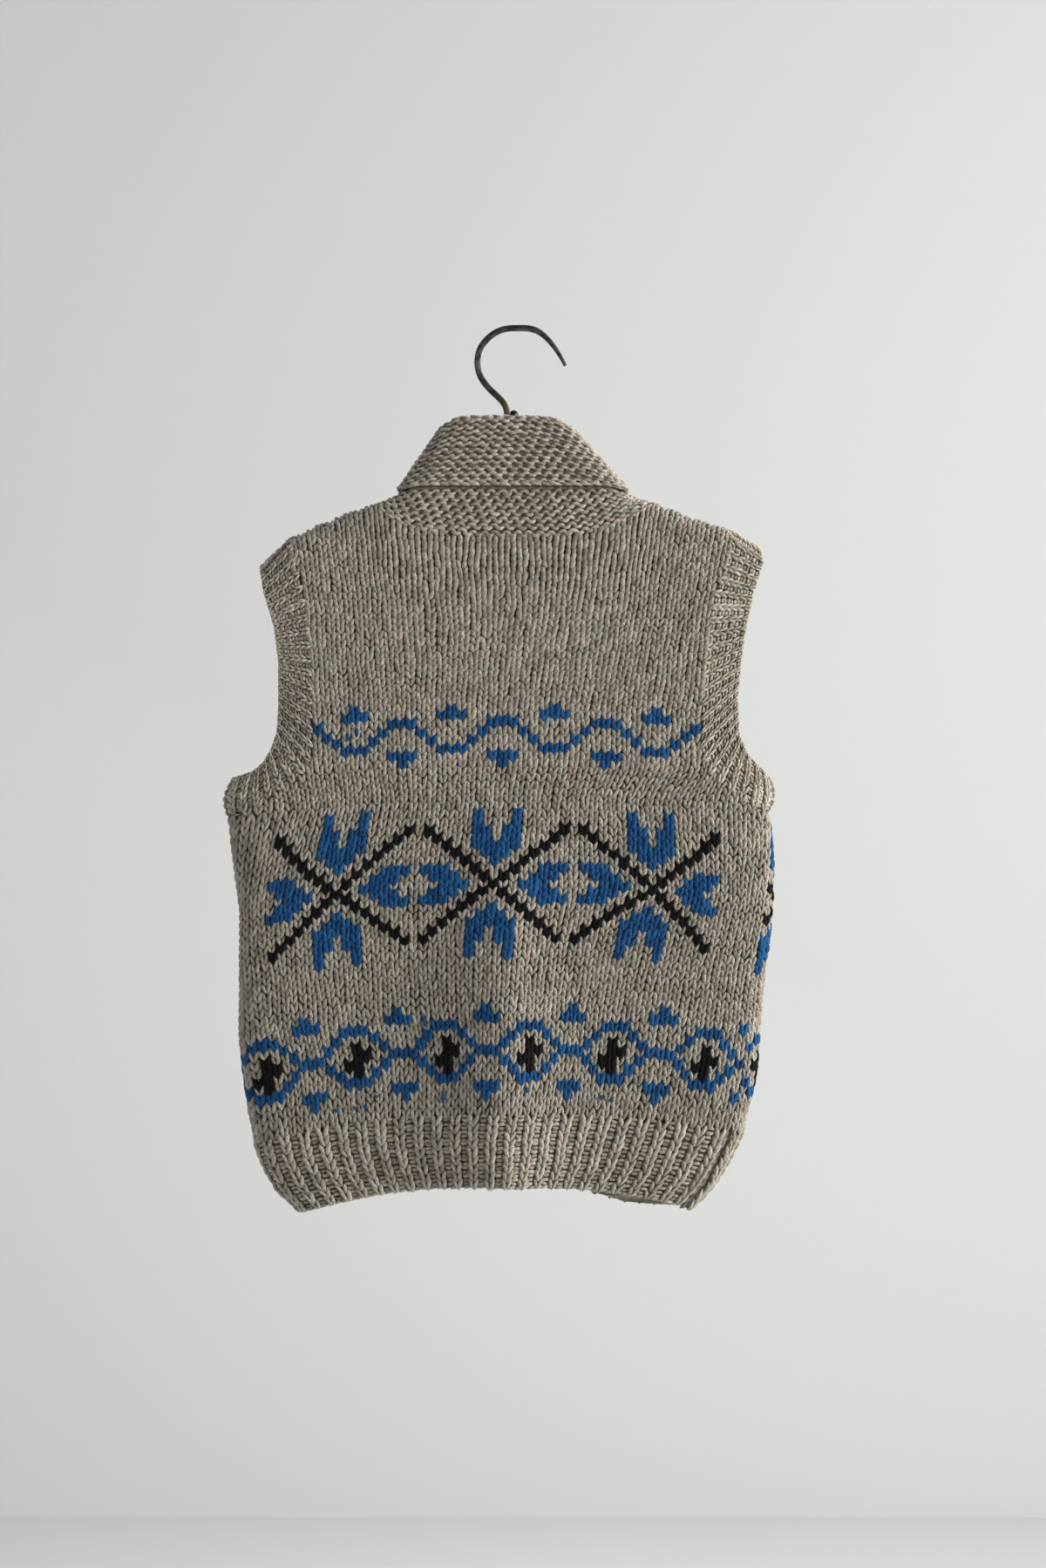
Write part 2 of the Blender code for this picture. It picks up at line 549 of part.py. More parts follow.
def main():
    for item in list(bpy.data.objects):
        bpy.data.objects.remove(item, do_unlink=True)
    collection = bpy.data.collections.new("sweater_vest")
    bpy.context.scene.collection.children.link(collection)
    yarn = material("oatmeal_yarn", (0.21, 0.188, 0.15), 0.95)
    rib_yarn = material("oatmeal_rib_yarn", (0.2, 0.18, 0.145), 0.95)
    iron = material("blackened_iron", (0.06, 0.055, 0.048), 0.55, 0.8)
    back = build_panel("back", BACK_TOP, yarn, collection)
    front = build_panel("front", FRONT_TOP, yarn, collection)
    build_hem_rib("back_hem_rib", "back", rib_yarn, collection)
    build_hem_rib("front_hem_rib", "front", rib_yarn, collection)
    build_band("armhole_band_left", 0, BAND_LEFT, back, front, rib_yarn, collection)
    build_band("armhole_band_right", -1, BAND_RIGHT, back, front, rib_yarn, collection)
    build_collar(back, front, rib_yarn, collection)
    build_bar("hanger_hook", HOOK_LINE, HOOK_RADIUS, HOOK_SCALE, HOOK_BENDS, iron, collection)
    build_bar("hanger_arms", ARMS_LINE, ARM_RADIUS, [1.0] * len(ARMS_LINE), 1, iron, collection)
    build_knuckle(iron, collection)


main()
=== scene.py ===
"""Looks of a hand-knit sweater vest hanging flat on an iron hanger, stitch by stitch.

Every visible stitch is a strand of yarn laid on the cloth's surface. A cloth is a lattice of points by
stitch column u and row v, in millimetres, in the frame of the CAD; pieces are made in metres.
"""
import math

import bpy
import numpy as np
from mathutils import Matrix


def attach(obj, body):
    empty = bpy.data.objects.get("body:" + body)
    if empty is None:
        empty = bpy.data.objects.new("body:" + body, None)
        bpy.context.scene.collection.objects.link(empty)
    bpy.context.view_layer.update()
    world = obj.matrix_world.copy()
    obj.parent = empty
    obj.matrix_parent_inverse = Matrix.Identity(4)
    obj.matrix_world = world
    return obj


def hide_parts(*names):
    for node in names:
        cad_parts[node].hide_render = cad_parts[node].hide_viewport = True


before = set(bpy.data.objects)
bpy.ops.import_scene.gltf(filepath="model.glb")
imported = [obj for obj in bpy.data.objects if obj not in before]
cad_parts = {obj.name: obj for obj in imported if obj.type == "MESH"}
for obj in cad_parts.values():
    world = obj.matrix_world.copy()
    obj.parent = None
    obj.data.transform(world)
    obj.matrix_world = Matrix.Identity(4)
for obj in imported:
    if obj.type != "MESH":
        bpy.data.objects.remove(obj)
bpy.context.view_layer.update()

MM = 0.001
SIGN = {"back": -1.0, "front": 1.0}     # which way along Y a panel faces
STITCHES = 59             # columns of a panel between its two side seams
HALF = STITCHES / 2
STITCH_WIDTH, STITCH_HEIGHT = 8.0, 6.3      # of the purl bumps on the grounds
TOP_ROW = 84              # rows of the panels end under this one
SEAM_GAP = 0.3
PANEL_WALL = 5.0
RIB_WALL = 4.2
COLLAR_WALL = 4.4
LAYER_GAP = 1.0
UNDER = COLLAR_WALL + LAYER_GAP     # from the face of the collar's fall to that of its stand
BASE_DEPTH = 2.7          # the plain ground of the cloth lies this far under its outer surface
SIDE_POWER = 14
DIP_POWER = 2.2           # how late a level turns down towards its sides
SHOULDER_RADIUS = 13.0
SHOULDER_ROWS = 8         # of a panel's ground, which stay on its own side of the middle plane
BAND_LIP = 10.0           # half width of an armhole band's edge, from back to front
BAND_RIBS = 48
HEM_RIBS = 27             # of a panel, fewer than its columns above
RIB_ROWS, BAND_ROWS = 9, 6
HEM_EDGE_ROW, BAND_EDGE_ROW = -9.42, 5.35
GARTER_PITCH = 9.2
SEAM_OVER = 1.6           # how far the grounds reach across a side seam
FOLD_X = -11.0
FOLD_LEFT = 36.0
FOLD_RIGHT = 25.0
# How far the front hem hangs below the back's, where along x, and over what reach.
FRONT_DROP, FRONT_DROP_X, FRONT_DROP_REACH = 10.0, 92.0, 42.0

# First seeds of the small unevenness of each panel's stitches and of its rib's.
PANEL_SEED = {"back": 11, "front": 111}
HEM_SEED = {"back": 300, "front": 400}

CAMERA_PLACE, CAMERA_LENS = (0.0043, -2.52, -0.374), 70.0
FLOOR_Z, WALL_Y = -1.75, 3.2
# Lights, in metres: name, place, aim, size, power, colour.
LIGHTS = [
    ("window", (2.7, -1.0, 0.3), (0, 0, -0.35), (1.5, 2.2), 124, (1.0, 0.985, 0.955)),
    ("fill", (-2.9, -1.7, 0.5), (0, 0, -0.35), (2.0, 2.0), 25, (0.95, 0.98, 1.0)),
    ("front_fill", (0.6, 2.3, 0.9), (0, 0, -0.35), (1.8, 1.8), 40, (1.0, 0.99, 0.97)),
    ("wall_right", (3.2, 0.2, 1.2), (0, 3.2, -0.4), (1.5, 1.5), 67, (1.0, 1.0, 1.0)),
    ("wall_left", (-3.2, 0.2, 1.2), (0, 3.2, -0.4), (1.5, 1.5), 17, (1.0, 1.0, 1.0))]

# Fabric levels of the body, from the hem up: z of the middle and of both sides, x of both sides,
# depth of the back and front, height of the soft fold, turn of the side seams.
LEVELS = np.array([
    (-702.0, -727.2, -722.9, -179.3, 143.3, 22.0, 19.0, 24.5, 18.0),
    (-682.6, -709.9, -704.2, -198.0, 162.7, 22.0, 19.0, 24.5, 19.0),
    (-663.1, -689.8, -683.3, -210.2, 175.7, 21.0, 18.5, 24.0, 20.0),
    (-644.4, -669.6, -661.7, -217.4, 185.8, 20.0, 18.0, 23.5, 20.0),
    (-621.4, -646.6, -636.5, -221.8, 192.2, 19.5, 18.0, 22.5, 20.0),
    (-592.6, -617.8, -607.7, -226.1, 197.3, 19.0, 17.5, 21.5, 20.0),
    (-558.0, -582.5, -571.7, -230.4, 200.2, 19.0, 17.0, 19.5, 19.0),
    (-518.4, -542.2, -534.2, -229.7, 203.8, 18.5, 17.0, 15.5, 18.0),
    (-486.7, -510.5, -504.0, -229.7, 207.4, 18.5, 17.0, 12.0, 16.0),
    (-455.0, -478.8, -473.8, -229.7, 210.2, 18.0, 16.5, 8.0, 13.0),
    (-419.0, -439.2, -436.3, -234.7, 211.0, 18.0, 16.0, 3.5, 8.0),
    (-399.6, -414.7, -411.1, -237.6, 208.8, 18.0, 16.0, 1.0, 3.0),
    (-388.8, -401.2, -397.6, -239.0, 206.6, 18.0, 16.0, 0.0, 0.0),
])
HEM_Z, RIB_Z, UNDERARM_Z = -702.0, -644.4, -388.8
RIB_LEVELS = LEVELS[:5, 0]
PANEL_FOOT = -665.0       # the panels' grounds start from the first level above this
UNDERARM_ROW = 38.5
UNDERARM_MIDDLE, UNDERARM_HALF = -16.2, 222.8

# Rows of the body: (v, z of the middle); row 0 is the first above the rib.
BODY_ROWS = np.array([(-9.5, -702.0), (-0.5, -644.4), (7.0, -591.0), (12.0, -556.5), (19.0, -512.0),
                      (28.0, -455.0), (37.0, -398.0), (38.5, -388.8)])
# Where columns of the back stand on three of its rows: (row's v, z of its middle), then (u, x).
RING_ROW = (7.0, -591.0), [(-25, -201.5), (-20, -169.5), (-15, -130.0), (-10, -93.5), (-5, -57.0),
                           (0, -25.5), (5, 10.2), (10, 43.5), (15, 76.0), (20, 117.0), (25, 153.5)]
FLOWER_ROW = (28.0, -455.0), [(-23, -204.0), (-16, -150.0), (-8, -86.0), (0, -19.8), (8, 46.0),
                              (16, 111.5), (23, 163.0)]
CHEST_ROW = (38.5, -388.8), [(-24, -195.0), (-10, -93.5), (0, -15.5), (10, 63.0), (24, 168.0)]
# Rows above the underarm: (v, z of the middle, z of the left side, z of the right side)
UPPER_ROWS = np.array([(38.5, -388.8, -401.2, -397.6), (44.0, -357.0, -371.0, -368.5),
                       (51.0, -310.0, -324.0, -322.0), (77.5, -169.0, -160.0, -158.0),
                       (86.0, -124.0, -111.0, -109.0)])
# Columns above the underarm: v, then x of columns -29.5, -19.5, -10, 0, 10, 19.5, 29.5
UPPER_COLUMNS = np.array([
    (44.0, -238.0, -168.0, -95.0, -12.5, 72.0, 151.0, 208.0),
    (51.0, -240.0, -168.5, -96.0, -12.2, 72.7, 150.5, 212.0),
    (66.0, -250.0, -174.0, -99.5, -6.5, 87.0, 160.0, 232.0),
    (86.0, -268.0, -190.0, -108.0, -4.5, 99.0, 180.0, 256.0),
])
COLUMN_KEYS = np.array([-29.5, -19.5, -10.0, 0.0, 10.0, 19.5, 29.5])

NECK_LEFT, NECK_RIGHT, V_MIDDLE = -116.6, 112.3, -4.3
ARMHOLE_TOP_Z = -399.0    # a level just under the armholes, above which their seams bound a panel
ARMHOLE_MARGIN = 2.6      # stitches reach this far past an armhole seam, under the band
# Armhole seams, shoulders and the bands' cast-off edges, as (x, z).
ARMHOLE_LEFT = [(-226.8, -398.2), (-216.0, -393.1), (-198.0, -380.9), (-181.4, -370.8),
                (-172.1, -361.4), (-167.8, -347.0), (-168.5, -323.3), (-168.5, -291.6),
                (-169.9, -252.0), (-175.7, -216.0), (-181.4, -193.0)]
ARMHOLE_RIGHT = [(195.8, -394.6), (186.5, -390.2), (175.7, -380.9), (161.3, -370.8),
                 (154.1, -361.4), (149.0, -347.0), (150.5, -323.3), (150.5, -291.6),
                 (154.1, -252.0), (161.3, -216.0), (169.2, -190.8)]
SHOULDER_STEPS = [0.42, 0.66, 0.84, 0.94, 1.0]
SHOULDER_LEFT = [(-186.5, -170.6), (-168.5, -161.4), (-139.7, -149.8), (NECK_LEFT, -141.8)]
SHOULDER_RIGHT = [(NECK_RIGHT, -141.6), (141.1, -152.6), (169.9, -162.6), (175.7, -165.0)]
SHOULDER_TIP_LEFT, SHOULDER_TIP_RIGHT = SHOULDER_LEFT[0], SHOULDER_RIGHT[-1]
BAND_LEFT = [(-213.1, -195.8), (-209.5, -216.0), (-200.9, -244.8), (-197.3, -273.6),
             (-197.3, -311.0), (-198.7, -331.2), (-203.0, -344.2), (-209.5, -355.7),
             (-217.4, -362.9), (-234.0, -368.6)]
BAND_RIGHT = [(200.0, -179.6), (202.6, -191.5), (194.6, -216.0), (188.4, -244.8), (184.2, -273.6),
              (181.4, -302.4), (182.6, -331.2), (185.4, -339.8), (189.4, -349.2),
              (196.6, -357.1), (205.9, -367.2)]
# Sides and depth of the flattened vest above the underarm: (z, x_left, x_right), (z, back, front).
UPPER_OUTLINE = np.array([
    (-401.2, -239.0, 206.6), (-388.0, -242.4, 211.7), (-368.0, -234.0, 206.2),
    (-356.0, -210.0, 195.0), (-340.0, -201.5, 183.0), (-311.0, -197.3, 178.0),
    (-273.6, -197.3, 179.3), (-244.8, -200.9, 184.3), (-216.0, -209.5, 193.0),
    (-190.0, -213.1, 202.3), (-145.0, -213.1, 202.3)])
UPPER_DEPTH = np.array([(-401.2, 18.0, 16.0), (-300.0, 15.5, 14.5), (-200.0, 13.5, 13.0),
                        (-145.0, 13.0, 13.0)])
# Top outlines, left to right: where the flattened vest closes, and the top edges of both panels.
TOP_CLOSE = np.array([(-242.6, -230.4), (-213.1, -195.8)] + SHOULDER_LEFT + [
    (-100.1, -131.0), (-77.0, -100.8), (-53.3, -72.0), (33.1, -70.6), (58.3, -97.2), (92.2, -131.0)]
    + SHOULDER_RIGHT + [(200.9, -181.4), (216.7, -223.2)])
BACK_TOP = np.array(SHOULDER_LEFT + [
    (-110.9, -146.6), (-103.7, -152.4), (-94.3, -158.6), (-82.1, -162.7), (-62.6, -165.6),
    (-35.3, -168.5), (-4.3, -169.2), (31.0, -169.2), (56.2, -165.6), (72.7, -162.0),
    (85.7, -156.2), (97.9, -149.6), (105.1, -145.6)] + SHOULDER_RIGHT)
FRONT_TOP = np.array(SHOULDER_LEFT + [(V_MIDDLE, -360.0)] + SHOULDER_RIGHT)
# Shares of the width at which the grounds' points stand; a few of them bound the neck.
COLUMNS = np.array([
    0.0, 0.012, 0.026, 0.05, 0.085, 0.129, 0.165, 0.193, 0.209, 0.229, 0.2546, 0.288, 0.342, 0.38,
    0.4175, 0.445, 0.472, 0.503, 0.534, 0.565, 0.6, 0.635, 0.67, 0.7156, 0.7515, 0.7852, 0.805,
    0.825, 0.86, 0.9045, 0.95, 0.974, 0.988, 1.0])
NECK_FIRST, NECK_LAST, NECK_MIDDLE = 7, 27, 17

# Collar: (x_neck, x_roll, z_roll, y_roll, x_edge, z_edge, y_edge, lean) over the back, and
# (share, x_roll, z_roll, y_roll, x_edge, z_edge, y_edge, lean, showing) down the front.
COLLAR_BACK = np.array([
    (-116.6, -65.5, -82.1, 0.0, -100.1, -131.8, 0.0, -1.0),
    (-110.9, -63.9, -80.6, -8.2, -98.4, -131.5, -8.8, -0.66),
    (-103.7, -58.8, -78.2, -13.4, -93.4, -131.1, -15.2, -0.42),
    (-94.3, -52.0, -76.2, -15.9, -85.6, -130.8, -18.8, -0.2),
    (-82.1, -43.5, -75.6, -16.4, -74.0, -130.5, -20.0, 0.0),
    (-4.3, -10.1, -75.6, -16.4, -4.3, -130.3, -20.4, 0.0),
    (72.7, 25.0, -75.6, -16.4, 67.0, -130.5, -20.0, 0.0),
    (85.7, 32.8, -76.2, -15.9, 78.5, -130.8, -18.8, 0.2),
    (97.9, 39.6, -78.2, -13.4, 86.3, -131.1, -15.2, 0.42),
    (105.1, 44.5, -80.2, -8.2, 91.2, -131.5, -8.8, 0.66),
    (112.3, 46.1, -81.6, 0.0, 92.9, -131.8, 0.0, 1.0)])
COLLAR_FRONT = np.array([
    (0.05, 59.6, -85.0, 9.0, 95.0, -136.0, 9.6, 0.64, 1.0),
    (0.115, 57.0, -92.0, 16.0, 96.5, -148.0, 17.0, 0.30, 0.7),
    (0.20, 54.0, -108.0, 19.8, 103.0, -174.0, 20.6, 0.06, 0.2),
    (0.31, 49.0, -138.0, 20.4, 112.0, -214.0, 21.2, 0.0, 0.0),
    (0.48, 40.0, -186.0, 21.0, 103.0, -266.0, 21.6, 0.0, 0.0),
    (0.60, 33.0, -222.0, 21.4, 86.0, -304.0, 22.0, 0.0, 0.0),
    (0.72, 24.5, -258.0, 21.8, 62.0, -338.0, 22.2, 0.0, 0.0),
    (0.81, 16.5, -288.0, 22.2, 37.0, -362.0, 22.4, 0.0, 0.0),
    (0.90, 6.5, -318.0, 22.4, 1.2, -378.0, 22.6, 0.0, 0.0)])

# Colour bands, as the columns of each row's coloured stitches about a motif's middle column.
# Rows are counted from the band's middle row up; band A from its top row down.
BAND_A = {0: (0,), 1: (-1, 0, 1), 2: (4, 5, 6), 3: (3, 7), 4: (2, 8), 5: (-1, 0, 1), 6: (4, 5, 6), 7: (5,)}
BAND_C = {5: (5,), 4: (4, 5, 6), 3: (-1, 0, 1), 2: (-2, 2), 1: (-3, 3), 0: (4, 5, 6),
          -1: (-3, 3), -2: (-2, 2), -3: (-1, 0, 1), -4: (4, 5, 6), -5: (5,)}
RING_EYE = {1: (0,), 0: (0, 1), -1: (-1, 0), -2: (0,)}
PETAL = {3: (0,), 4: (-1, 0, 1), 5: (-2, -1, 0, 1, 2), 6: (-2, -1, 1, 2), 7: (-2, -1, 1, 2),
         8: (-2, 2), 9: (-2, 2)}
SIDE_PETAL = {3: 0, 4: 1, 5: 2}     # column from the middle: rows on either side
# Blue floats that peep through the back: (x, z, length in millimetres)
FLOATS = [(-149.0, -641.0, 3.6), (-133.2, -640.0, 4.0), (-124.6, -638.5, 5.0), (-116.6, -629.5, 3.4),
          (-60.5, -630.0, 12.0), (6.5, -624.0, 6.0), (-77.0, -568.0, 12.0), (67.7, -631.0, 4.5),
          (76.3, -632.0, 3.6), (-140.4, -335.5, 8.0), (-132.5, -332.0, 9.0)]
ROW_A_TOP, ROW_B, ROW_C = 51, 28, 7
HALF_A, HALF_A_LOW, HALF_B = 20, 17, 23     # columns that bands A and B reach from the middle
SMALL_REPEAT, LARGE_REPEAT = 10, 16         # columns of a ring or wave, and of a flower


def smooth(value, low, high):
    share = np.clip((value - low) / (high - low), 0.0, 1.0)
    return share * share * (3.0 - 2.0 * share)


def unit(vectors):
    """Vectors at length 1, one or a grid of them."""
    return vectors / np.maximum(np.linalg.norm(vectors, axis=-1, keepdims=True), 1e-9)


def column_of(rows, key, at):
    """Every column of a table read at values of its first column."""
    return np.array([np.interp(at, rows[:, 0], rows[:, k]) for k in key])


def lens(share):
    """Depth of the flattened tube, 1 in the middle and 0 at its sides."""
    return np.sqrt(np.maximum(0.0, 1.0 - np.abs(share) ** SIDE_POWER))


def fold_shape(x):
    """Height of the back's soft upright fold across it, 1 at its crest."""
    reach = np.where(x < FOLD_X, FOLD_LEFT, FOLD_RIGHT)
    return 1.0 / np.cosh((x - FOLD_X) / reach)


def level_points(z_middle, side, shares, inset=0.0):
    """Points of a panel on the fabric level whose middle is at z_middle, at shares of its width."""
    _, z_left, z_right, x_left, x_right, back, front, fold, seam_turn = [
        float(np.interp(z_middle, LEVELS[:, 0], LEVELS[:, k])) for k in range(9)]
    steps = 400
    turn = np.sin(np.linspace(-math.pi / 2, math.pi / 2, steps + 1))
    middle, half = (x_left + x_right) / 2, (x_right - x_left) / 2
    x = middle + half * turn
    z_side = np.where(turn < 0, z_left, z_right)
    z = z_middle + (z_side - z_middle) * np.abs(turn) ** DIP_POWER
    y_back = -(back + fold * fold_shape(x)) * lens(turn)
    loop = np.vstack([np.column_stack([x, y_back, z]),
                      np.column_stack([x, front * lens(turn), z])[::-1][1:]])
    run = lengths(loop)
    total, left, right = run[-1], -seam_turn, run[steps] - seam_turn
    if side == "back":
        at = left + inset + (right - left - 2 * inset) * shares
    else:
        at = left + total - inset + (right - left - total + 2 * inset) * shares
    return np.column_stack([np.interp(at % total, run, loop[:, axis]) for axis in range(3)])


def side_depth(x, z, side):
    """Half depth of the flattened vest above the underarm before it closes over the top."""
    x_left, x_right = column_of(UPPER_OUTLINE, (1, 2), z)
    depth = np.interp(z, UPPER_DEPTH[:, 0], UPPER_DEPTH[:, 1 if side == "back" else 2])
    lips = np.clip((z + 392.0) / 45.0, 0.0, 1.0)
    share = (x - (x_left + x_right) / 2) / ((x_right - x_left) / 2)
    return depth * lens(np.clip(share, -1, 1) * (1.0 - 0.04 * lips))


def top_rounding(x, z):
    """Share of the depth that is left as the vest closes over its top."""
    under_top = np.maximum(0.0, np.interp(x, TOP_CLOSE[:, 0], TOP_CLOSE[:, 1]) - z)
    rise = 1.0 - np.minimum(1.0, under_top / SHOULDER_RADIUS)
    return np.sqrt(np.maximum(0.0, 1.0 - rise ** 2))


def sheet_depth(x, z, side):
    """Half depth of the flattened vest above the underarm."""
    return side_depth(x, z, side) * top_rounding(x, z)


def sheet_normal(x, z, side):
    """Outward direction of the flattened vest above the underarm."""
    step = 0.4
    slope_x = (side_depth(x + step, z, side) - side_depth(x - step, z, side)) / (2 * step)
    slope_z = (sheet_depth(x, z + step, side) - sheet_depth(x, z - step, side)) / (2 * step)
    return unit(np.column_stack([-slope_x * top_rounding(x, z), np.full(len(x), SIGN[side]), -slope_z]))


def surface_normals(grid):
    """Unit normals of a grid of points, on either side of it."""
    return unit(np.cross(np.gradient(grid, axis=1), np.gradient(grid, axis=0)))


class Cloth:
    """A surface as a lattice of points by column u and row v, with outward directions."""

    def __init__(self, us, vs, points, normals):
        self.us, self.vs = us, vs
        self.points, self.normals = points, normals
        steps_u = np.linalg.norm(np.gradient(points, axis=1), axis=2) / (us[1] - us[0])
        steps_v = np.linalg.norm(np.gradient(points, axis=0), axis=2) / (vs[1] - vs[0])
        self.sizes = np.stack([steps_u, steps_v], axis=2)

    def read(self, field, u, v):
        a = np.clip((u - self.us[0]) / (self.us[1] - self.us[0]), 0, len(self.us) - 1.001)
        b = np.clip((v - self.vs[0]) / (self.vs[1] - self.vs[0]), 0, len(self.vs) - 1.001)
        i, j = a.astype(int), b.astype(int)
        p, q = (a - i)[..., None], (b - j)[..., None]
        return ((field[j, i] * (1 - p) + field[j, i + 1] * p) * (1 - q)
                + (field[j + 1, i] * (1 - p) + field[j + 1, i + 1] * p) * q)

    def place(self, u, v, height):
        return self.read(self.points, u, v) + unit(self.read(self.normals, u, v)) * height[..., None]

    def pitch(self, u, v):
        """Width of a column and height of a row, in millimetres."""
        size = self.read(self.sizes, u, v)
        return size[..., 0], size[..., 1]


def placed_shares(us, row):
    """Shares of the back's width at which its columns stand on a row with known places."""
    (_, z_middle), places = row
    dense = np.linspace(0.0, 1.0, 800)
    x = level_points(z_middle, "back", dense)[:, 0]
    first, last = int(np.argmin(x)), int(np.argmax(x))
    wanted = np.array(places, float)
    shares = np.interp(wanted[:, 1], x[first:last], dense[first:last])
    keys = np.concatenate([[-HALF], wanted[:, 0], [HALF]])
    fine = np.arange(-HALF - 6, HALF + 6.01, 0.5)
    away = np.interp(fine, keys, np.concatenate([[0.0], shares, [1.0]]) - 0.5 - keys / STITCHES)
    soft = np.convolve(np.pad(away, 5, "edge"), np.ones(11) / 11, "valid")
    return 0.5 + us / STITCHES + np.interp(us, fine, soft)


def share_of(us, v, side):
    """Shares of a panel's width at its columns on row v."""
    if side == "front":
        return 0.5 + us / STITCHES + 0.055 * np.sin(2 * math.pi * us / STITCHES) / (2 * math.pi)
    rows = [placed_shares(us, row) for row in (RING_ROW, FLOWER_ROW, CHEST_ROW)]
    at = [RING_ROW[0][0], FLOWER_ROW[0][0], CHEST_ROW[0][0]]
    return np.array([np.interp(v, at, [row[k] for row in rows]) for k in range(len(us))])


def upper_row(side, us, v):
    """Points of a row above the underarm, over the shoulders as far as it goes."""
    z_middle, z_left, z_right = [float(c) for c in column_of(UPPER_ROWS, (1, 2, 3), v)]
    laid = np.interp(us, COLUMN_KEYS, [np.interp(v, UPPER_COLUMNS[:, 0], UPPER_COLUMNS[:, k])
                                       for k in range(1, 8)])
    below = level_points(UNDERARM_Z, side, np.clip(share_of(us, UNDERARM_ROW, side), 0.0, 1.0))[:, 0]
    x = below + (laid - below) * smooth(v, UNDERARM_ROW, 45.0)
    turn = np.clip((x - UNDERARM_MIDDLE) / UNDERARM_HALF, -1.15, 1.15)
    z = z_middle + (np.where(turn < 0, z_left, z_right) - z_middle) * np.abs(turn) ** DIP_POWER
    over = SHOULDER_RADIUS * (math.pi / 2 - 1)
    closing = np.interp(x, TOP_CLOSE[:, 0], TOP_CLOSE[:, 1])
    run = closing + over - z
    angle = np.clip(run / SHOULDER_RADIUS, 0.0, math.pi / 2)
    rounded = run < SHOULDER_RADIUS * math.pi / 2
    z = np.where(rounded, closing - SHOULDER_RADIUS * (1 - np.cos(angle)), z)
    y = SIGN[side] * (side_depth(x, z, side) * np.where(rounded, np.sin(angle), 1.0) + SEAM_GAP / 2)
    return np.column_stack([x, y, z])


def hem_drop(x, z_middle, side):
    """How far the front hem hangs below its level, to the right of the middle."""
    if side == "back":
        return np.zeros_like(x)
    low = np.clip((RIB_Z - z_middle) / (RIB_Z - HEM_Z), 0.0, 1.1)
    return FRONT_DROP * low * np.exp(-((x - FRONT_DROP_X) / FRONT_DROP_REACH) ** 2)


def panel_cloth(side, ribbed=False):
    """The lattice of a panel from its rib to above the shoulders, or that of its hem rib."""
    us = np.arange(-HALF - 1.0, HALF + 1.01, 0.5)
    vs = np.arange(-10.0, 1.01, 0.5) if ribbed else np.arange(-1.5, TOP_ROW + 0.01, 0.5)
    hem_row, below_hem = BODY_ROWS[0, 0], 6.4
    rows = []
    for v in vs:
        if v <= UNDERARM_ROW:
            z_middle = np.interp(v, *BODY_ROWS.T) + below_hem * min(0.0, v - hem_row)
            shares = 0.5 + us / STITCHES if ribbed else share_of(us, v, side)
            row = level_points(float(z_middle), side, shares)
            row[:, 2] -= hem_drop(row[:, 0], z_middle, side)
            rows.append(row)
        else:
            rows.append(upper_row(side, us, v))
    points = np.array(rows)
    normals = surface_normals(points)
    return Cloth(us, vs, points, -normals if normals[..., 1].sum() * SIGN[side] < 0 else normals)


def drift(u, v, seed):
    """How far hand knitting strays from its lattice, smoothly, in columns and rows."""
    rng = np.random.default_rng(seed)
    away_u, away_v = np.zeros_like(u), np.zeros_like(v)
    for size in (3.5, 6.0, 11.0, 19.0):
        turn = rng.uniform(0, 2 * math.pi, 4)
        way = rng.uniform(0, 2 * math.pi, 2)
        wave = 2 * math.pi / size
        away_u += 0.035 * np.sin((u * math.cos(way[0]) + v * math.sin(way[0])) * wave + turn[0])
        away_v += 0.060 * np.sin((u * math.cos(way[1]) + v * math.sin(way[1])) * wave + turn[1])
    return away_u, away_v


YARN_RADIUS = 1.85        # a fatter leg is only wider, not thicker
SIDES = 5
ANGLES = np.radians([0.0, 60.0, 120.0, 180.0, 270.0])
AROUND = np.array([-1.0, -0.33, 0.33, 1.0, 0.0])


def strand_faces(rings):
    """Triangles of one strand: a tip, its rings and a tip."""
    faces = []
    last = 1 + rings * SIDES
    for s in range(SIDES):
        t = (s + 1) % SIDES
        faces.append((0, 1 + t, 1 + s))
        faces.append((last, last - SIDES + s, last - SIDES + t))
        for r in range(rings - 1):
            a, b = 1 + r * SIDES + s, 1 + r * SIDES + t
            faces.append((a, b, b + SIDES))
            faces.append((a, b + SIDES, a + SIDES))
    return np.array(faces)


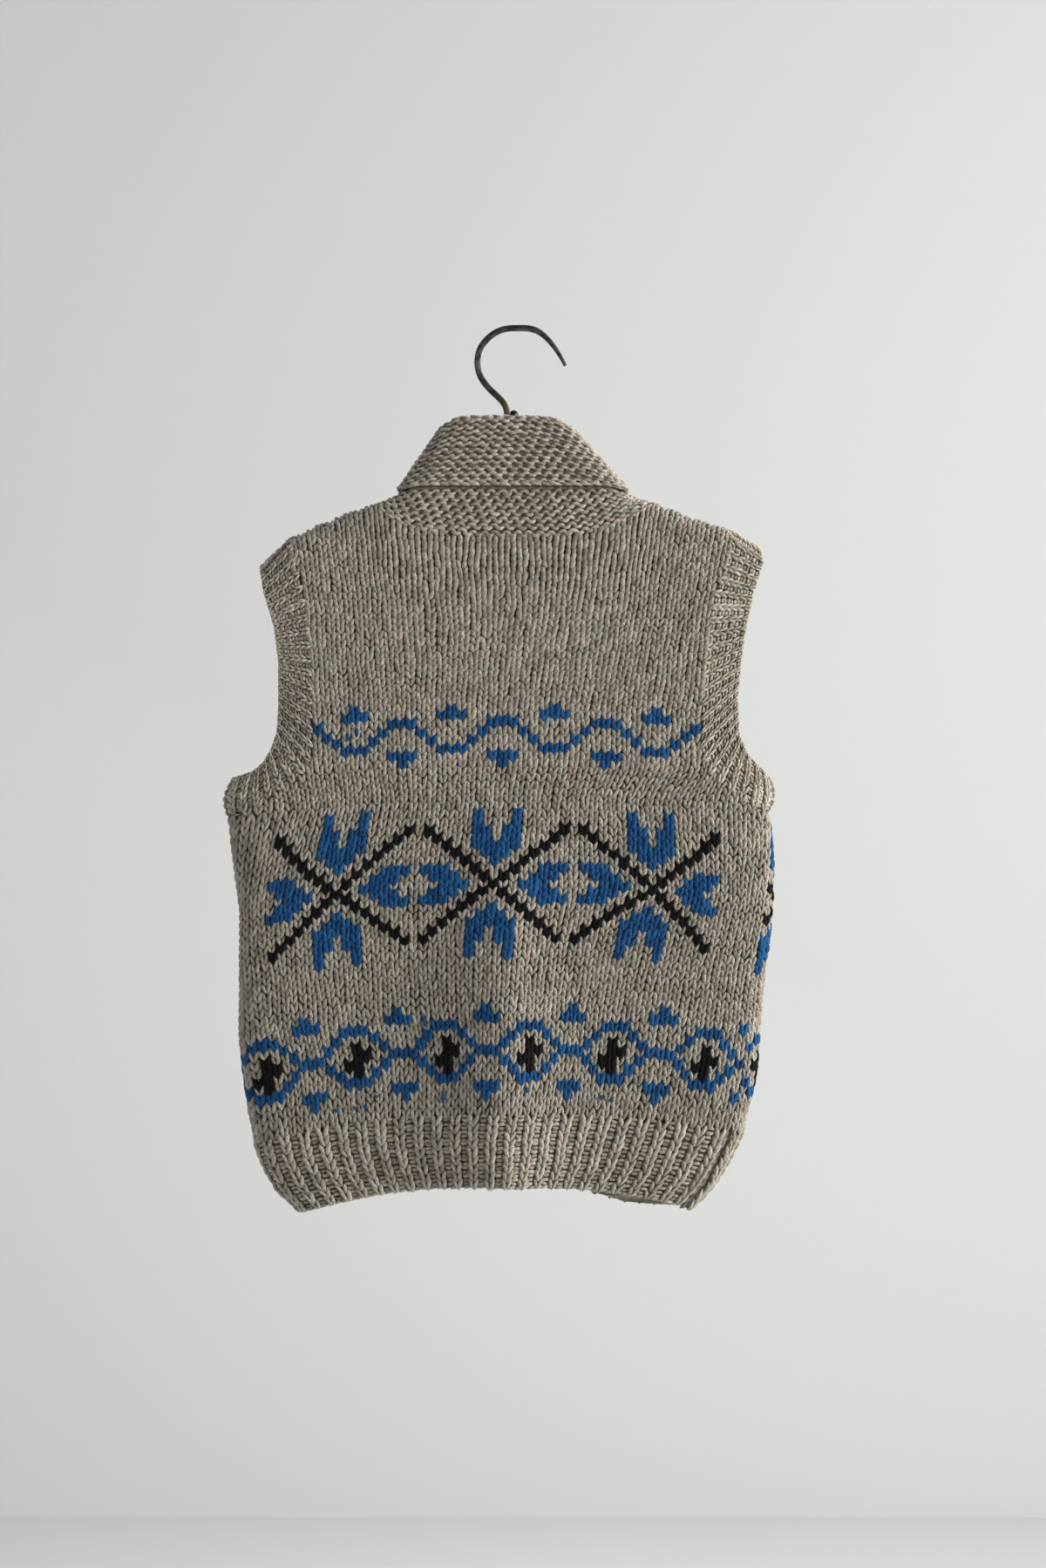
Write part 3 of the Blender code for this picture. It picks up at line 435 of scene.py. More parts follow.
def strands(cloth, u, v, height, wide, thick, tone):
    """Strands of yarn on a cloth, as points, triangles and yarn coordinates.

    u, v and height are the centre lines, a row per strand, tip to tip; wide and thick are the half
    sizes at the points between the tips; tone is a number from 0 to 1 per strand.
    """
    count, length = u.shape
    rings = length - 2
    pitch_u, pitch_v = cloth.pitch(u, v)
    run_u, run_v = np.gradient(u, axis=1) * pitch_u, np.gradient(v, axis=1) * pitch_v
    size = np.maximum(np.hypot(run_u, run_v), 1e-6)
    across_u, across_v = run_v / size / pitch_u, -run_u / size / pitch_v
    inner = slice(1, -1)
    offset = wide[..., None] * np.cos(ANGLES)
    ring_u = u[:, inner, None] + across_u[:, inner, None] * offset
    ring_v = v[:, inner, None] + across_v[:, inner, None] * offset
    ring_h = height[:, inner, None] + thick[..., None] * np.sin(ANGLES)
    points = np.empty((count, rings * SIDES + 2, 3))
    points[:, 0] = cloth.place(u[:, 0], v[:, 0], height[:, 0])
    points[:, -1] = cloth.place(u[:, -1], v[:, -1], height[:, -1])
    points[:, 1:-1] = cloth.place(ring_u, ring_v, ring_h).reshape(count, rings * SIDES, 3)
    steps = np.hypot(np.diff(u, axis=1) * pitch_u[:, 1:], np.diff(v, axis=1) * pitch_v[:, 1:])
    run = np.concatenate([np.zeros((count, 1)), np.cumsum(steps, axis=1)], axis=1)
    yarn = np.zeros((count, rings * SIDES + 2, 3))
    yarn[:, 0, 0], yarn[:, -1, 0] = run[:, 0], run[:, -1]
    yarn[:, 1:-1, 0] = np.repeat(run[:, inner], SIDES, axis=1)
    yarn[:, 1:-1, 1] = np.tile(AROUND, rings)
    yarn[:, :, 2] = tone[:, None]
    faces = strand_faces(rings)
    stride = rings * SIDES + 2
    faces = (faces[None] + (np.arange(count) * stride)[:, None, None]).reshape(-1, 3)
    return points.reshape(-1, 3), faces, yarn.reshape(-1, 3)


def make_mesh(name, points, faces, shader, yarn=None):
    """A smooth piece from points in millimetres."""
    mesh = bpy.data.meshes.new(name)
    faces = np.asarray(faces)
    mesh.vertices.add(len(points))
    mesh.vertices.foreach_set("co", (np.asarray(points) * MM).astype(np.float32).ravel())
    mesh.loops.add(faces.size)
    mesh.loops.foreach_set("vertex_index", faces.astype(np.int32).ravel())
    mesh.polygons.add(len(faces))
    mesh.polygons.foreach_set("loop_start", np.arange(0, faces.size, faces.shape[1], dtype=np.int32))
    mesh.polygons.foreach_set("loop_total", np.full(len(faces), faces.shape[1], np.int32))
    mesh.update(calc_edges=True)
    mesh.validate()
    mesh.shade_smooth()
    if yarn is not None:
        layer = mesh.attributes.new("yarn", "FLOAT_VECTOR", "POINT")
        layer.data.foreach_set("vector", yarn.astype(np.float32).ravel())
    item = bpy.data.objects.new(name, mesh)
    bpy.context.scene.collection.objects.link(item)
    mesh.materials.append(shader)
    return item


def join_strands(name, parts, shader):
    """One piece from several sets of strands."""
    points, faces, yarn, offset = [], [], [], 0
    for p, f, y in parts:
        points.append(p)
        faces.append(f + offset)
        yarn.append(y)
        offset += len(p)
    return make_mesh(name, np.vstack(points), np.vstack(faces), shader, np.vstack(yarn))


def leg_pair(cloth, u, v, seed, size=1.0, lift=0.0, spread=1.0, stretch=1.0, stray=1.0, lean_by=1.0):
    """The two slender legs of knit stitches at columns u and rows v."""
    rng = np.random.default_rng(seed)
    count = len(u)
    stray_u, stray_v = drift(u, v, 5)
    u, v = u + stray_u * stray, v + stray_v * stray
    pitch_u = cloth.pitch(u, v)[0]
    line = np.array([-0.84, -0.62, -0.18, 0.28, 0.64, 0.86]) * stretch
    spread = np.broadcast_to(spread, count)[:, None]
    lean = np.array([0.04, 0.075, 0.185, 0.315, 0.405, 0.43]) * spread
    rise = np.array([-2.4, -1.15, -0.45, -0.60, -1.35, -2.6])
    width = np.array([0.66, 1.0, 0.98, 0.64])
    tone = rng.random(count)
    whole = 1.0 + rng.normal(0.0, 0.05, count)
    parts = []
    for hand in (-1.0, 1.0):
        grow = whole * (1.0 + rng.normal(0.0, 0.07, count))
        slip = rng.normal(0.0, 0.036, (count, 2))
        turn = 1.0 + rng.normal(0.0, 0.18, count)
        centre = 0.235 * spread
        slant = (lean - centre) * (turn * lean_by)[:, None] + centre
        cu = u[:, None] + hand * slant + slip[:, :1]
        cv = v[:, None] + line * grow[:, None] + slip[:, 1:]
        ch = rise + lift + rng.normal(0.0, 0.16, count)[:, None]
        wide = (0.222 * pitch_u * size * grow)[:, None] * width
        thick = np.minimum(wide, YARN_RADIUS)
        shade = np.clip(tone * 0.5 + rng.random(count) * 0.5, 0, 1)
        parts.append(strands(cloth, cu, cv, ch, wide, thick, shade))
    return parts


def arcs(cloth, u, v, seed, smile, width, tall, radius, lift=0.0, tilt=0.08):
    """Garter or purl bumps: short strands curved up (smile) or down along a ridge."""
    rng = np.random.default_rng(seed)
    count = len(u)
    pitch_u, pitch_v = cloth.pitch(u, v)
    along_ridge = np.array([-0.5, -0.38, -0.15, 0.15, 0.38, 0.5]) * width
    bow = np.array([1.0, 0.58, 0.0, 0.0, 0.58, 1.0]) * tall * (1.0 if smile else -1.0)
    rise = np.array([-2.5, -1.0, 0.0, 0.0, -1.0, -2.5])
    grow = 1.0 + rng.normal(0.0, 0.07, count)
    slip = rng.normal(0.0, 0.28, (count, 2))
    turn = rng.normal(0.0, tilt, count)
    cu = u[:, None] + (along_ridge * grow[:, None] + slip[:, :1]) / pitch_u[:, None]
    cv = v[:, None] + (bow + slip[:, 1:] + along_ridge * turn[:, None]) / pitch_v[:, None]
    ch = rise + lift + rng.normal(0.0, 0.15, count)[:, None]
    wide = np.array([0.78, 1.0, 1.0, 0.78]) * (radius * grow)[:, None]
    return strands(cloth, cu, cv, ch, wide, wide * 0.95, rng.random(count))


def chain(cloth, u, v, seed, length, radius, lift):
    """The links of a cast-off or cast-on edge, lying end over end along it."""
    rng = np.random.default_rng(seed)
    count = len(u)
    pitch_u, pitch_v = cloth.pitch(u, v)
    along_edge = np.array([-0.68, -0.52, -0.18, 0.2, 0.54, 0.7]) * length
    side = np.array([-0.9, -0.72, -0.18, 0.27, 0.72, 0.9])
    rise = np.array([-2.2, -0.8, 0.0, -0.1, -0.9, -2.2])
    slip = rng.normal(0.0, 0.2, (count, 2))
    cu = u[:, None] + (along_edge + slip[:, :1]) / pitch_u[:, None]
    cv = v[:, None] + (side + slip[:, 1:]) / pitch_v[:, None]
    ch = rise + lift + rng.normal(0.0, 0.12, count)[:, None]
    wide = np.array([0.75, 1.0, 1.0, 0.72]) * (radius * (1.0 + rng.normal(0.0, 0.06, count)))[:, None]
    return strands(cloth, cu, cv, ch, wide, wide, rng.random(count))


def flower_colour(column, row):
    """Colour of a stitch of the large flower, by its column and row from the flower's middle."""
    c, r = abs(column), abs(row)
    if c == r and c <= 7:
        return "black"
    if r in PETAL and column in PETAL[r]:
        return "blue"
    if c in SIDE_PETAL and r <= SIDE_PETAL[c]:
        return "blue"
    if c in (6, 7) and r in (1, 2) and not (c == 7 and r == 1):
        return "blue"
    return ""


def chart(side, column, row):
    """Colour of a panel's stitch: blue, black, or an empty word for the ground."""
    if side == "back":
        flower_first, ring_first = 0, 5
    else:
        flower_first, ring_first = 27, 27
    ring = (column - ring_first + SMALL_REPEAT // 2) % SMALL_REPEAT - SMALL_REPEAT // 2
    leaf = (column - ring_first) % SMALL_REPEAT
    if ROW_A_TOP - row in BAND_A and abs(column) <= HALF_A:
        marked = BAND_A[ROW_A_TOP - row]
        bare = side == "back" and row < ROW_A_TOP - 4 and abs(column) > HALF_A_LOW
        return "blue" if not bare and (ring in marked or leaf in marked) else ""
    if abs(row - ROW_B) <= max(PETAL):
        place = (column - flower_first + LARGE_REPEAT // 2) % LARGE_REPEAT - LARGE_REPEAT // 2
        bare = side == "back" and abs(column) > HALF_B
        return "" if bare else flower_colour(place, row - ROW_B)
    step = row - ROW_C
    if ring in RING_EYE.get(step, ()):
        return "black"
    marked = BAND_C.get(step, ())
    return "blue" if ring in marked or leaf in marked else ""


def armhole_x(z, side):
    """x of the armhole seam at a height, on the left (-1) or right (1) side."""
    line = ARMHOLE_LEFT if side < 0 else ARMHOLE_RIGHT
    tip = SHOULDER_TIP_LEFT if side < 0 else SHOULDER_TIP_RIGHT
    points = np.array(line + [tip])
    return np.interp(z, points[:, 1], points[:, 0])


def on_panel(side, points):
    """Which stitch places lie on a panel, clear of its armholes, neck and shoulders."""
    x, z = points[:, 0], points[:, 2]
    top = BACK_TOP if side == "back" else FRONT_TOP
    under_top = z < np.interp(x, top[:, 0], top[:, 1]) - 0.6
    below = z <= ARMHOLE_TOP_Z
    between = (x > armhole_x(z, -1) - ARMHOLE_MARGIN) & (x < armhole_x(z, 1) + ARMHOLE_MARGIN)
    return under_top & (below | between)


def knit_panel(side, cloth, yarns):
    """All stockinette stitches of a panel, in pieces by colour and height."""
    columns, rows = np.meshgrid(np.arange(-29, 30), np.arange(0, TOP_ROW))
    columns, rows = columns.ravel(), rows.ravel()
    middle = cloth.place(columns.astype(float), rows.astype(float), np.zeros(len(rows)))
    keep = on_panel(side, middle)
    columns, rows = columns[keep], rows[keep]
    colours = np.array([chart(side, int(c), int(r)) for c, r in zip(columns, rows)])
    pieces = []
    sets = [("ground_low", (colours == "") & (rows < 22)),
            ("ground_middle", (colours == "") & (rows >= 22) & (rows < 44)),
            ("ground_high", (colours == "") & (rows >= 44)),
            ("blue", colours == "blue"), ("black", colours == "black")]
    for k, (word, chosen) in enumerate(sets):
        u, v = columns[chosen].astype(float), rows[chosen].astype(float)
        dyed = word in ("blue", "black")
        fat = {"blue": 1.26, "black": 1.4, "ground_high": 1.08}.get(word, 1.0)
        near_neck = smooth(v, 64.0, 74.0) * (1.0 - smooth(np.abs(u), 11.0, 15.0))
        long = {"black": 1.3, "blue": 1.2, "ground_high": 1.06}.get(word, 1.0)
        parts = leg_pair(cloth, u, v, PANEL_SEED[side] + k,
                         size=fat * (1.0 - 0.04 * near_neck), spread=1.0 + 0.05 * near_neck,
                         lift=0.45 if dyed else 0.0, stretch=long, lean_by=1.0 - 0.55 * near_neck)
        shader = yarns[word] if dyed else yarns["ground"]
        pieces.append(join_strands(f"{side}_{word}_stitches", parts, shader))
    return pieces


def peeping_floats(cloth, shader):
    """Short lengths of the blue carried behind the fabric that peep out between stitches."""
    us, vs = [a.ravel() for a in np.meshgrid(np.arange(-28, 28, 0.25), np.arange(0, 60, 0.25))]
    lattice = cloth.place(us, vs, np.zeros(len(us)))
    places = []
    for x, z, _ in FLOATS:
        nearest = int(np.argmin(np.hypot(lattice[:, 0] - x, lattice[:, 2] - z)))
        places.append((us[nearest], vs[nearest]))
    u, v = np.array(places).T
    long = np.array([length for _, _, length in FLOATS])
    pitch_v = cloth.pitch(u, v)[1]
    line = np.array([-0.5, -0.4, -0.15, 0.15, 0.4, 0.5])
    cu = u[:, None] + np.array([-0.05, -0.03, 0.03, 0.0, 0.04, 0.05])
    cv = v[:, None] + line * (long / pitch_v)[:, None]
    ch = np.tile(np.array([-1.8, 0.4, 1.2, 1.1, 0.4, -1.8]), (len(u), 1))
    wide = np.tile(np.array([0.9, 1.35, 1.3, 0.9]), (len(u), 1))
    tone = np.full(len(u), 0.5)
    return join_strands("back_peeping_floats", [strands(cloth, cu, cv, ch, wide, wide * 0.7, tone)],
                        shader)


def rib_stitches(name, cloth, knit_u, purl_u, rows, seed, edge_v, shader):
    """Knit ribs standing up between sunk purl columns, with the chain of the edge at row edge_v."""
    ku, kv = [a.ravel().astype(float) for a in np.meshgrid(knit_u, rows)]
    pu, pv = [a.ravel().astype(float) for a in np.meshgrid(purl_u, rows)]
    edge_u = np.arange(min(knit_u) - 0.5, max(knit_u) + 0.6, 1.0)
    edge_step = float(np.mean(cloth.pitch(edge_u, np.full(len(edge_u), edge_v))[0]))
    apart = float(purl_u[0] - knit_u[0])
    parts = leg_pair(cloth, ku, kv, seed, size=1.06 * apart, lift=1.0, spread=1.2 * apart, stray=0.5)
    width = float(np.mean(cloth.pitch(pu, pv)[0])) * apart
    parts.append(arcs(cloth, pu, pv, seed + 1, True, width * 1.15, 1.7, 1.5, lift=-1.0, tilt=0.12))
    parts.append(arcs(cloth, pu, pv + 0.5, seed + 2, False, width * 1.15, 1.7, 1.5, lift=-1.1, tilt=0.12))
    parts.append(chain(cloth, edge_u, np.full(len(edge_u), edge_v), seed + 3, edge_step, 1.35, lift=-0.6))
    return join_strands(name, parts, shader)


def wall_mesh(name, outer, inner, closed, shader):
    """A closed cloth wall between two grids of points."""
    rows, columns = outer.shape[:2]
    offset = rows * columns
    cells = columns if closed else columns - 1
    faces = []
    for r in range(rows - 1):
        for c in range(cells):
            d = (c + 1) % columns
            a, b = r * columns + c, r * columns + d
            e, f = b + columns, a + columns
            faces.append((a, b, e, f))
            faces.append((offset + f, offset + e, offset + b, offset + a))
    last = offset - columns
    rim = []
    for c in range(cells):
        d = (c + 1) % columns
        rim += [(d, c), (last + c, last + d)]
    if not closed:
        for start in range(0, last, columns):
            end = start + columns - 1
            rim += [(start, start + columns), (end + columns, end)]
    faces += [(a, b, offset + b, offset + a) for a, b in rim]
    return make_mesh(name, np.vstack([outer.reshape(-1, 3), inner.reshape(-1, 3)]), faces, shader)


def armhole_rows():
    """Both ends of a panel's rows from the underarm up to the shoulder's tips."""
    left, right = list(ARMHOLE_LEFT), list(ARMHOLE_RIGHT)
    for step in SHOULDER_STEPS:
        left.append(tuple(a + (b - a) * step for a, b in zip(ARMHOLE_LEFT[-1], SHOULDER_TIP_LEFT)))
        right.append(tuple(a + (b - a) * step for a, b in zip(ARMHOLE_RIGHT[-1], SHOULDER_TIP_RIGHT)))
    return left, right


def level_grid(z_levels, side, shares):
    """Points and outward directions of a panel or rib on fabric levels."""
    grid, ahead, behind = [np.array([level_points(z, side, shares + step, -SEAM_OVER) for z in z_levels])
                           for step in (0.0, 0.003, -0.003)]
    return grid, unit(np.cross(ahead - behind, np.gradient(grid, axis=0))) * -SIGN[side]


def panel_grid(side, top):
    """Outer points and outward directions of a panel's ground, up to the shoulders and neck."""
    levels = [z for z in LEVELS[:, 0] if z >= PANEL_FOOT]
    grid, normal = level_grid(levels, side, COLUMNS)
    rows, normals = list(grid[1:]), list(normal[1:])
    under = rows[-1]
    width = SHOULDER_TIP_RIGHT[0] - SHOULDER_TIP_LEFT[0]
    top_z = np.interp(SHOULDER_TIP_LEFT[0] + width * COLUMNS, top[:, 0], top[:, 1])
    for (xl, zl), (xr, zr) in zip(*armhole_rows()):
        rise_left = (zl - under[0, 2]) / (SHOULDER_TIP_LEFT[1] - under[0, 2])
        rise_right = (zr - under[-1, 2]) / (SHOULDER_TIP_RIGHT[1] - under[-1, 2])
        rise = rise_left + (rise_right - rise_left) * COLUMNS
        x = xl + (xr - xl) * COLUMNS
        z = under[:, 2] + (top_z - under[:, 2]) * rise
        y = SIGN[side] * (sheet_depth(x, z, side) + SEAM_GAP / 2)
        rows.append(np.column_stack([x, y, z]))
        normals.append(sheet_normal(x, z, side))
    return np.array(rows), np.array(normals)


def keep_side(points, side):
    """Keep the ground of a panel on its own side of the middle plane at the shoulder seam."""
    kept = points.copy()
    depth = kept[-SHOULDER_ROWS:, :, 1]
    depth[:] = SIGN[side] * np.maximum(depth * SIGN[side], SEAM_GAP / 2)
    return kept


def lengths(line):
    """Length of a polyline up to each of its points."""
    return np.concatenate([[0.0], np.cumsum(np.linalg.norm(np.diff(line, axis=0), axis=1))])


def along(points, shares):
    """Points at shares of a polyline's length."""
    run = lengths(points)
    return np.column_stack([np.interp(shares * run[-1], run, points[:, axis]) for axis in range(3)])


def band_surface(column, edge, rims, steps, half):
    """Rows of an armhole band from its seam to its cast-off edge, all round the arm."""
    first = len(LEVELS) - 4
    away = -1.0 if column == 0 else 1.0
    edge_points = np.array([(x, 0.0, z) for x, z in edge])
    rows = [[] for _ in steps]
    for rim, sign in zip(rims, (-1.0, 1.0)):
        shares = np.arange(half) / half
        at = shares if sign < 0 else 1.0 - shares
        line = rim[first:, column][::-1].copy()
        line[0, 1] = 0.0
        line[-1, 1] = 0.0
        inside = along(line, at)
        outside = along(edge_points, at)
        outside[:, 1] = sign * BAND_LIP * np.sqrt(np.maximum(0.0, 1.0 - np.abs(2 * at - 1) ** 10))
        swell = np.maximum(0.0, (at - 0.8) / 0.2) ** 2
        for k, step in enumerate(steps):
            row = inside + (outside - inside) * step
            row[:, 0] += away * 6.0 * swell * 4 * step * (1 - step)
            rows[k].append(row)
    return np.array([np.vstack(row) for row in rows])


def facing(lean, sign):
    """Outward direction of the collar where it leans to a side by a share."""
    side = math.copysign(min(1.0, abs(lean)), lean)
    return unit(np.array([side, sign * (1.0 - abs(side)), 0.7 * abs(side)]))


def collar_stations(back, front):
    """(seam_out, seam_in, roll, edge, normal, showing) round the neck, from one end to the other."""
    stations = []

    def add(seam_out, seam_in, roll, edge, way, showing):
        down = unit(edge - roll)
        normal = unit(way - down * np.dot(way, down))
        stations.append((seam_out, seam_in, roll, edge, normal, showing))

    def front_station(column, mirror):
        x_top = NECK_LEFT if mirror < 0 else NECK_RIGHT
        share = (front[0][-1, column, 0] - x_top) / (V_MIDDLE - x_top)
        read = [float(c) for c in column_of(COLLAR_FRONT, range(1, 9), share)]
        roll = np.array([V_MIDDLE + mirror * read[0], read[2], read[1]])
        edge = np.array([V_MIDDLE + mirror * read[3], read[5], read[4]])
        toward = unit(roll - front[0][-1, column]) * 0.4
        add(front[0][-1, column] + toward, front[1][-1, column] + toward, roll, edge,
            facing(mirror * read[6], 1.0), read[7])

    for column in range(NECK_MIDDLE - 1, NECK_FIRST, -1):
        front_station(column, -1.0)
    for column in range(NECK_FIRST, NECK_LAST + 1):
        x_neck = back[0][-1, column, 0]
        read = [float(c) for c in column_of(COLLAR_BACK, range(1, 8), x_neck)]
        roll = np.array([read[0], read[2], read[1]])
        edge = np.array([read[3], read[5], read[4]])
        seam_out, seam_in = back[0][-1, column].copy(), back[1][-1, column].copy()
        if column in (NECK_FIRST, NECK_LAST):
            seam_out[1] = 0.0
            seam_in[1] = 0.0
        toward = unit(edge - seam_out) * 0.4
        add(seam_out + toward, seam_in + toward, roll, edge, facing(read[6], -1.0), 1.0)
    for column in range(NECK_LAST - 1, NECK_MIDDLE, -1):
        front_station(column, 1.0)
    return stations


def collar_knee(station, sink=0.0):
    """Lower end of the stand: behind the fall's edge at the back, half way to the seam in front."""
    seam_out, _, roll, edge, normal, showing = station
    tucked = edge - normal * (UNDER + sink)
    direct = roll + (seam_out - roll) * 0.5 - normal * UNDER * 0.5
    return tucked * showing + direct * (1.0 - showing)


def collar_roll(station, reach):
    """Three points over the turn of the collar, from its inside to the fall."""
    _, _, roll, edge, normal, _ = station
    down = unit(edge - roll)
    middle = roll - normal * (UNDER + COLLAR_WALL) / 2
    return [middle - normal * reach * 0.75 - down * reach * 0.66, middle - down * reach,
            middle + normal * reach * 0.75 - down * reach * 0.66]


def collar_section(station):
    """Hairpin section of the collar's ground, with the fold's crest and both layers."""
    seam_out, seam_in, roll, edge, normal, _ = station
    down = unit(edge - roll)
    sink = 1.6
    hem = edge - down * 2.4
    fall = [roll + (hem - roll) * share - normal * sink for share in (0.0, 0.25, 0.5, 0.75, 1.0)]
    lip = [hem - normal * (COLLAR_WALL - 0.4)]
    back_up = [roll + (edge - roll) * share - normal * (COLLAR_WALL - 0.4) for share in (0.66, 0.33)]
    crotch = roll + down * 3.0
    stand_top = crotch - normal * (UNDER + sink)
    nest = [crotch - normal * COLLAR_WALL, crotch - down * 1.5 - normal * (COLLAR_WALL + 0.3), stand_top]
    knee = collar_knee(station, sink)
    stand = [stand_top + (knee - stand_top) * share for share in (0.33, 0.66)]
    low = seam_out - normal * sink
    shown = [knee + (low - knee) * share for share in (0.0, 0.33, 0.66, 1.0)]
    inner_knee = knee - normal * (COLLAR_WALL - 2.6)
    inner_top = roll - normal * (UNDER + COLLAR_WALL - 1.4)
    inside = [seam_in + normal * 0.8, (seam_in + inner_knee) / 2, inner_knee,
              (inner_knee + inner_top) / 2, inner_top]
    over = collar_roll(station, (UNDER + COLLAR_WALL) / 2 - 1.2)
    return fall + lip + back_up + nest + stand + shown + inside + over


def collar_ground(stations, shader):
    sections = np.array([collar_section(station) for station in stations])
    count, size = sections.shape[:2]
    faces = []
    for s in range(count - 1):
        for k in range(size):
            m = (k + 1) % size
            a, b = s * size + k, s * size + m
            faces.append((a, b, b + size))
            faces.append((a, b + size, a + size))
    points = sections.reshape(-1, 3)
    ends = [points[:size].mean(axis=0), points[-size:].mean(axis=0)]
    points = np.vstack([points, ends])
    last = (count - 1) * size
    for k in range(size):
        m = (k + 1) % size
        faces.append((m, k, len(points) - 2))
        faces.append((last + k, last + m, len(points) - 1))
    return make_mesh("collar_ground", points, faces, shader)


def refine(line, count):
    """Points at even distances along a polyline."""
    return along(line, np.linspace(0.0, 1.0, count))


def collar_cloths(stations):
    """The collar's faces that show: the folded-over layer with its roll, the stand below, the inside."""
    fall, stand, inside = [], [], []
    for station in stations:
        seam_out, seam_in, roll, edge, normal, _ = station
        reach = (UNDER + COLLAR_WALL) / 2
        crest = roll - normal * (UNDER + COLLAR_WALL) / 2 - normal * reach - unit(edge - roll) * 0.5
        fall.append(refine(np.array([crest] + collar_roll(station, reach) + [roll, edge]), 60))
        knee = collar_knee(station)
        over_seam = seam_out + unit(seam_out - knee) * 3.4 + normal * 0.9
        stand.append(refine(np.array([knee, seam_out, over_seam]), 23))
        inner_top = roll - normal * (UNDER + COLLAR_WALL)
        inside.append(refine(np.array([seam_in, knee - normal * COLLAR_WALL, inner_top]), 40))
    cloths = []
    for rows, outward in ((fall, -1.0), (stand, -1.0), (inside, 1.0)):
        grid = np.transpose(np.array(rows), (1, 0, 2))
        finer = np.array([refine_plain(row, 6) for row in grid])
        normals = surface_normals(finer)
        mid = finer.shape[1] // 2
        if normals[finer.shape[0] * 2 // 3, mid, 1] * outward < 0:
            normals = -normals
        us, vs = np.arange(finer.shape[1], dtype=float), np.arange(finer.shape[0], dtype=float)
        cloth = Cloth(us, vs, finer, normals)
        cloth.down = -1.0 if finer[0, mid, 2] > finer[-1, mid, 2] else 1.0
        cloths.append(cloth)
    return cloths


def refine_plain(line, times):
    """A polyline with each stretch cut into equal parts, rounded at its corners."""
    count = (len(line) - 1) * times + 1
    at = np.linspace(0, len(line) - 1, count)
    fine = np.column_stack([np.interp(at, np.arange(len(line)), line[:, axis]) for axis in range(3)])
    for _ in range(3):
        fine[1:-1] = (fine[:-2] + 2 * fine[1:-1] + fine[2:]) / 4
    return fine


def ridge_places(cloth, v, pitch, phase, first=0.0, last=1.0):
    """Columns at even distances along the ridge at row v."""
    us = cloth.us
    line = cloth.read(cloth.points, us, np.full(len(us), v))
    run = lengths(line)
    start, end = run[-1] * first + pitch * (0.5 + phase), run[-1] * last - pitch * 0.4
    return np.interp(np.arange(start, end, pitch), run, us)


def garter(cloth, ridges, seed, first_v, last_v, span=(0.0, 1.0), edge=False):
    """Ridges of interlocking bumps from row first_v to last_v of a cloth, and the edge's chain."""
    parts = []
    for k in range(ridges):
        v = first_v + (last_v - first_v) * (k + 0.5) / ridges
        phase = 0.5 * (k % 2)
        for smile in (True, False):
            u = ridge_places(cloth, v, GARTER_PITCH, phase + (0.0 if smile else 0.5), *span)
            pitch_v = float(np.mean(cloth.pitch(u, np.full(len(u), v))[1]))
            place = np.full(len(u), v + (-1.1 if smile else 1.5) * cloth.down / pitch_v)
            parts.append(arcs(cloth, u, place, seed + 2 * k + smile, smile == (cloth.down > 0),
                              GARTER_PITCH * (0.88 if smile else 0.94), 2.5, 1.56))
    if edge:
        u = ridge_places(cloth, last_v, GARTER_PITCH * 0.9, 0.3, *span)
        parts.append(chain(cloth, u, np.full(len(u), last_v), seed + 90, GARTER_PITCH * 0.9, 1.6, lift=0.2))
    return parts


class Shading:
    """A new material, with short ways to add nodes to its shader."""

    def __init__(self, name):
        self.material = bpy.data.materials.new(name)
        self.material.use_nodes = True
        self.tree = self.material.node_tree
        self.base = self.tree.nodes["Principled BSDF"]

    def feed(self, socket, value):
        """Join a socket to a node's output, or give it a number or a colour."""
        if isinstance(value, bpy.types.NodeSocket):
            self.tree.links.new(value, socket)
        else:
            socket.default_value = value

    def add(self, kind, sources, output=0):
        """A node's output, with the node's inputs fed by number or name."""
        node = self.tree.nodes.new(kind)
        for key, value in sources.items():
            self.feed(node.inputs[key], value)
        return node.outputs[output]

    def surface(self, sources):
        for key, value in sources.items():
            self.feed(self.base.inputs[key], value)
        return self.material

    def place(self):
        return self.add("ShaderNodeTexCoord", {}, "Object")

    def split(self, vector):
        return self.add("ShaderNodeSeparateXYZ", {0: vector}).node.outputs

    def math(self, operation, *values):
        output = self.add("ShaderNodeMath", dict(enumerate(values)))
        output.node.operation = operation
        return output

    def noise(self, place, scale, detail, roughness=0.5):
        return self.add("ShaderNodeTexNoise", {"Vector": place, "Scale": scale, "Detail": detail,
                                               "Roughness": roughness}, "Fac")

    def ramp(self, share, *stops):
        output = self.add("ShaderNodeValToRGB", {0: share})
        elements = output.node.color_ramp.elements
        elements[0].position, elements[1].position = stops[0][0], stops[-1][0]
        for position, _ in stops[1:-1]:
            elements.new(position)
        for element, (_, colour) in zip(elements, stops):
            element.color = (*colour, 1)
        return output

    def mix(self, share, first, second, blend="MIX"):
        node = self.tree.nodes.new("ShaderNodeMix")
        node.data_type = "RGBA"
        node.blend_type = blend
        for key, value in (("Factor", share), ("A", first), ("B", second)):
            self.feed(node.inputs[key], value)
        return node.outputs["Result"]

    def bump(self, height, strength, distance):
        return self.add("ShaderNodeBump", {"Height": height, "Strength": strength, "Distance": distance})


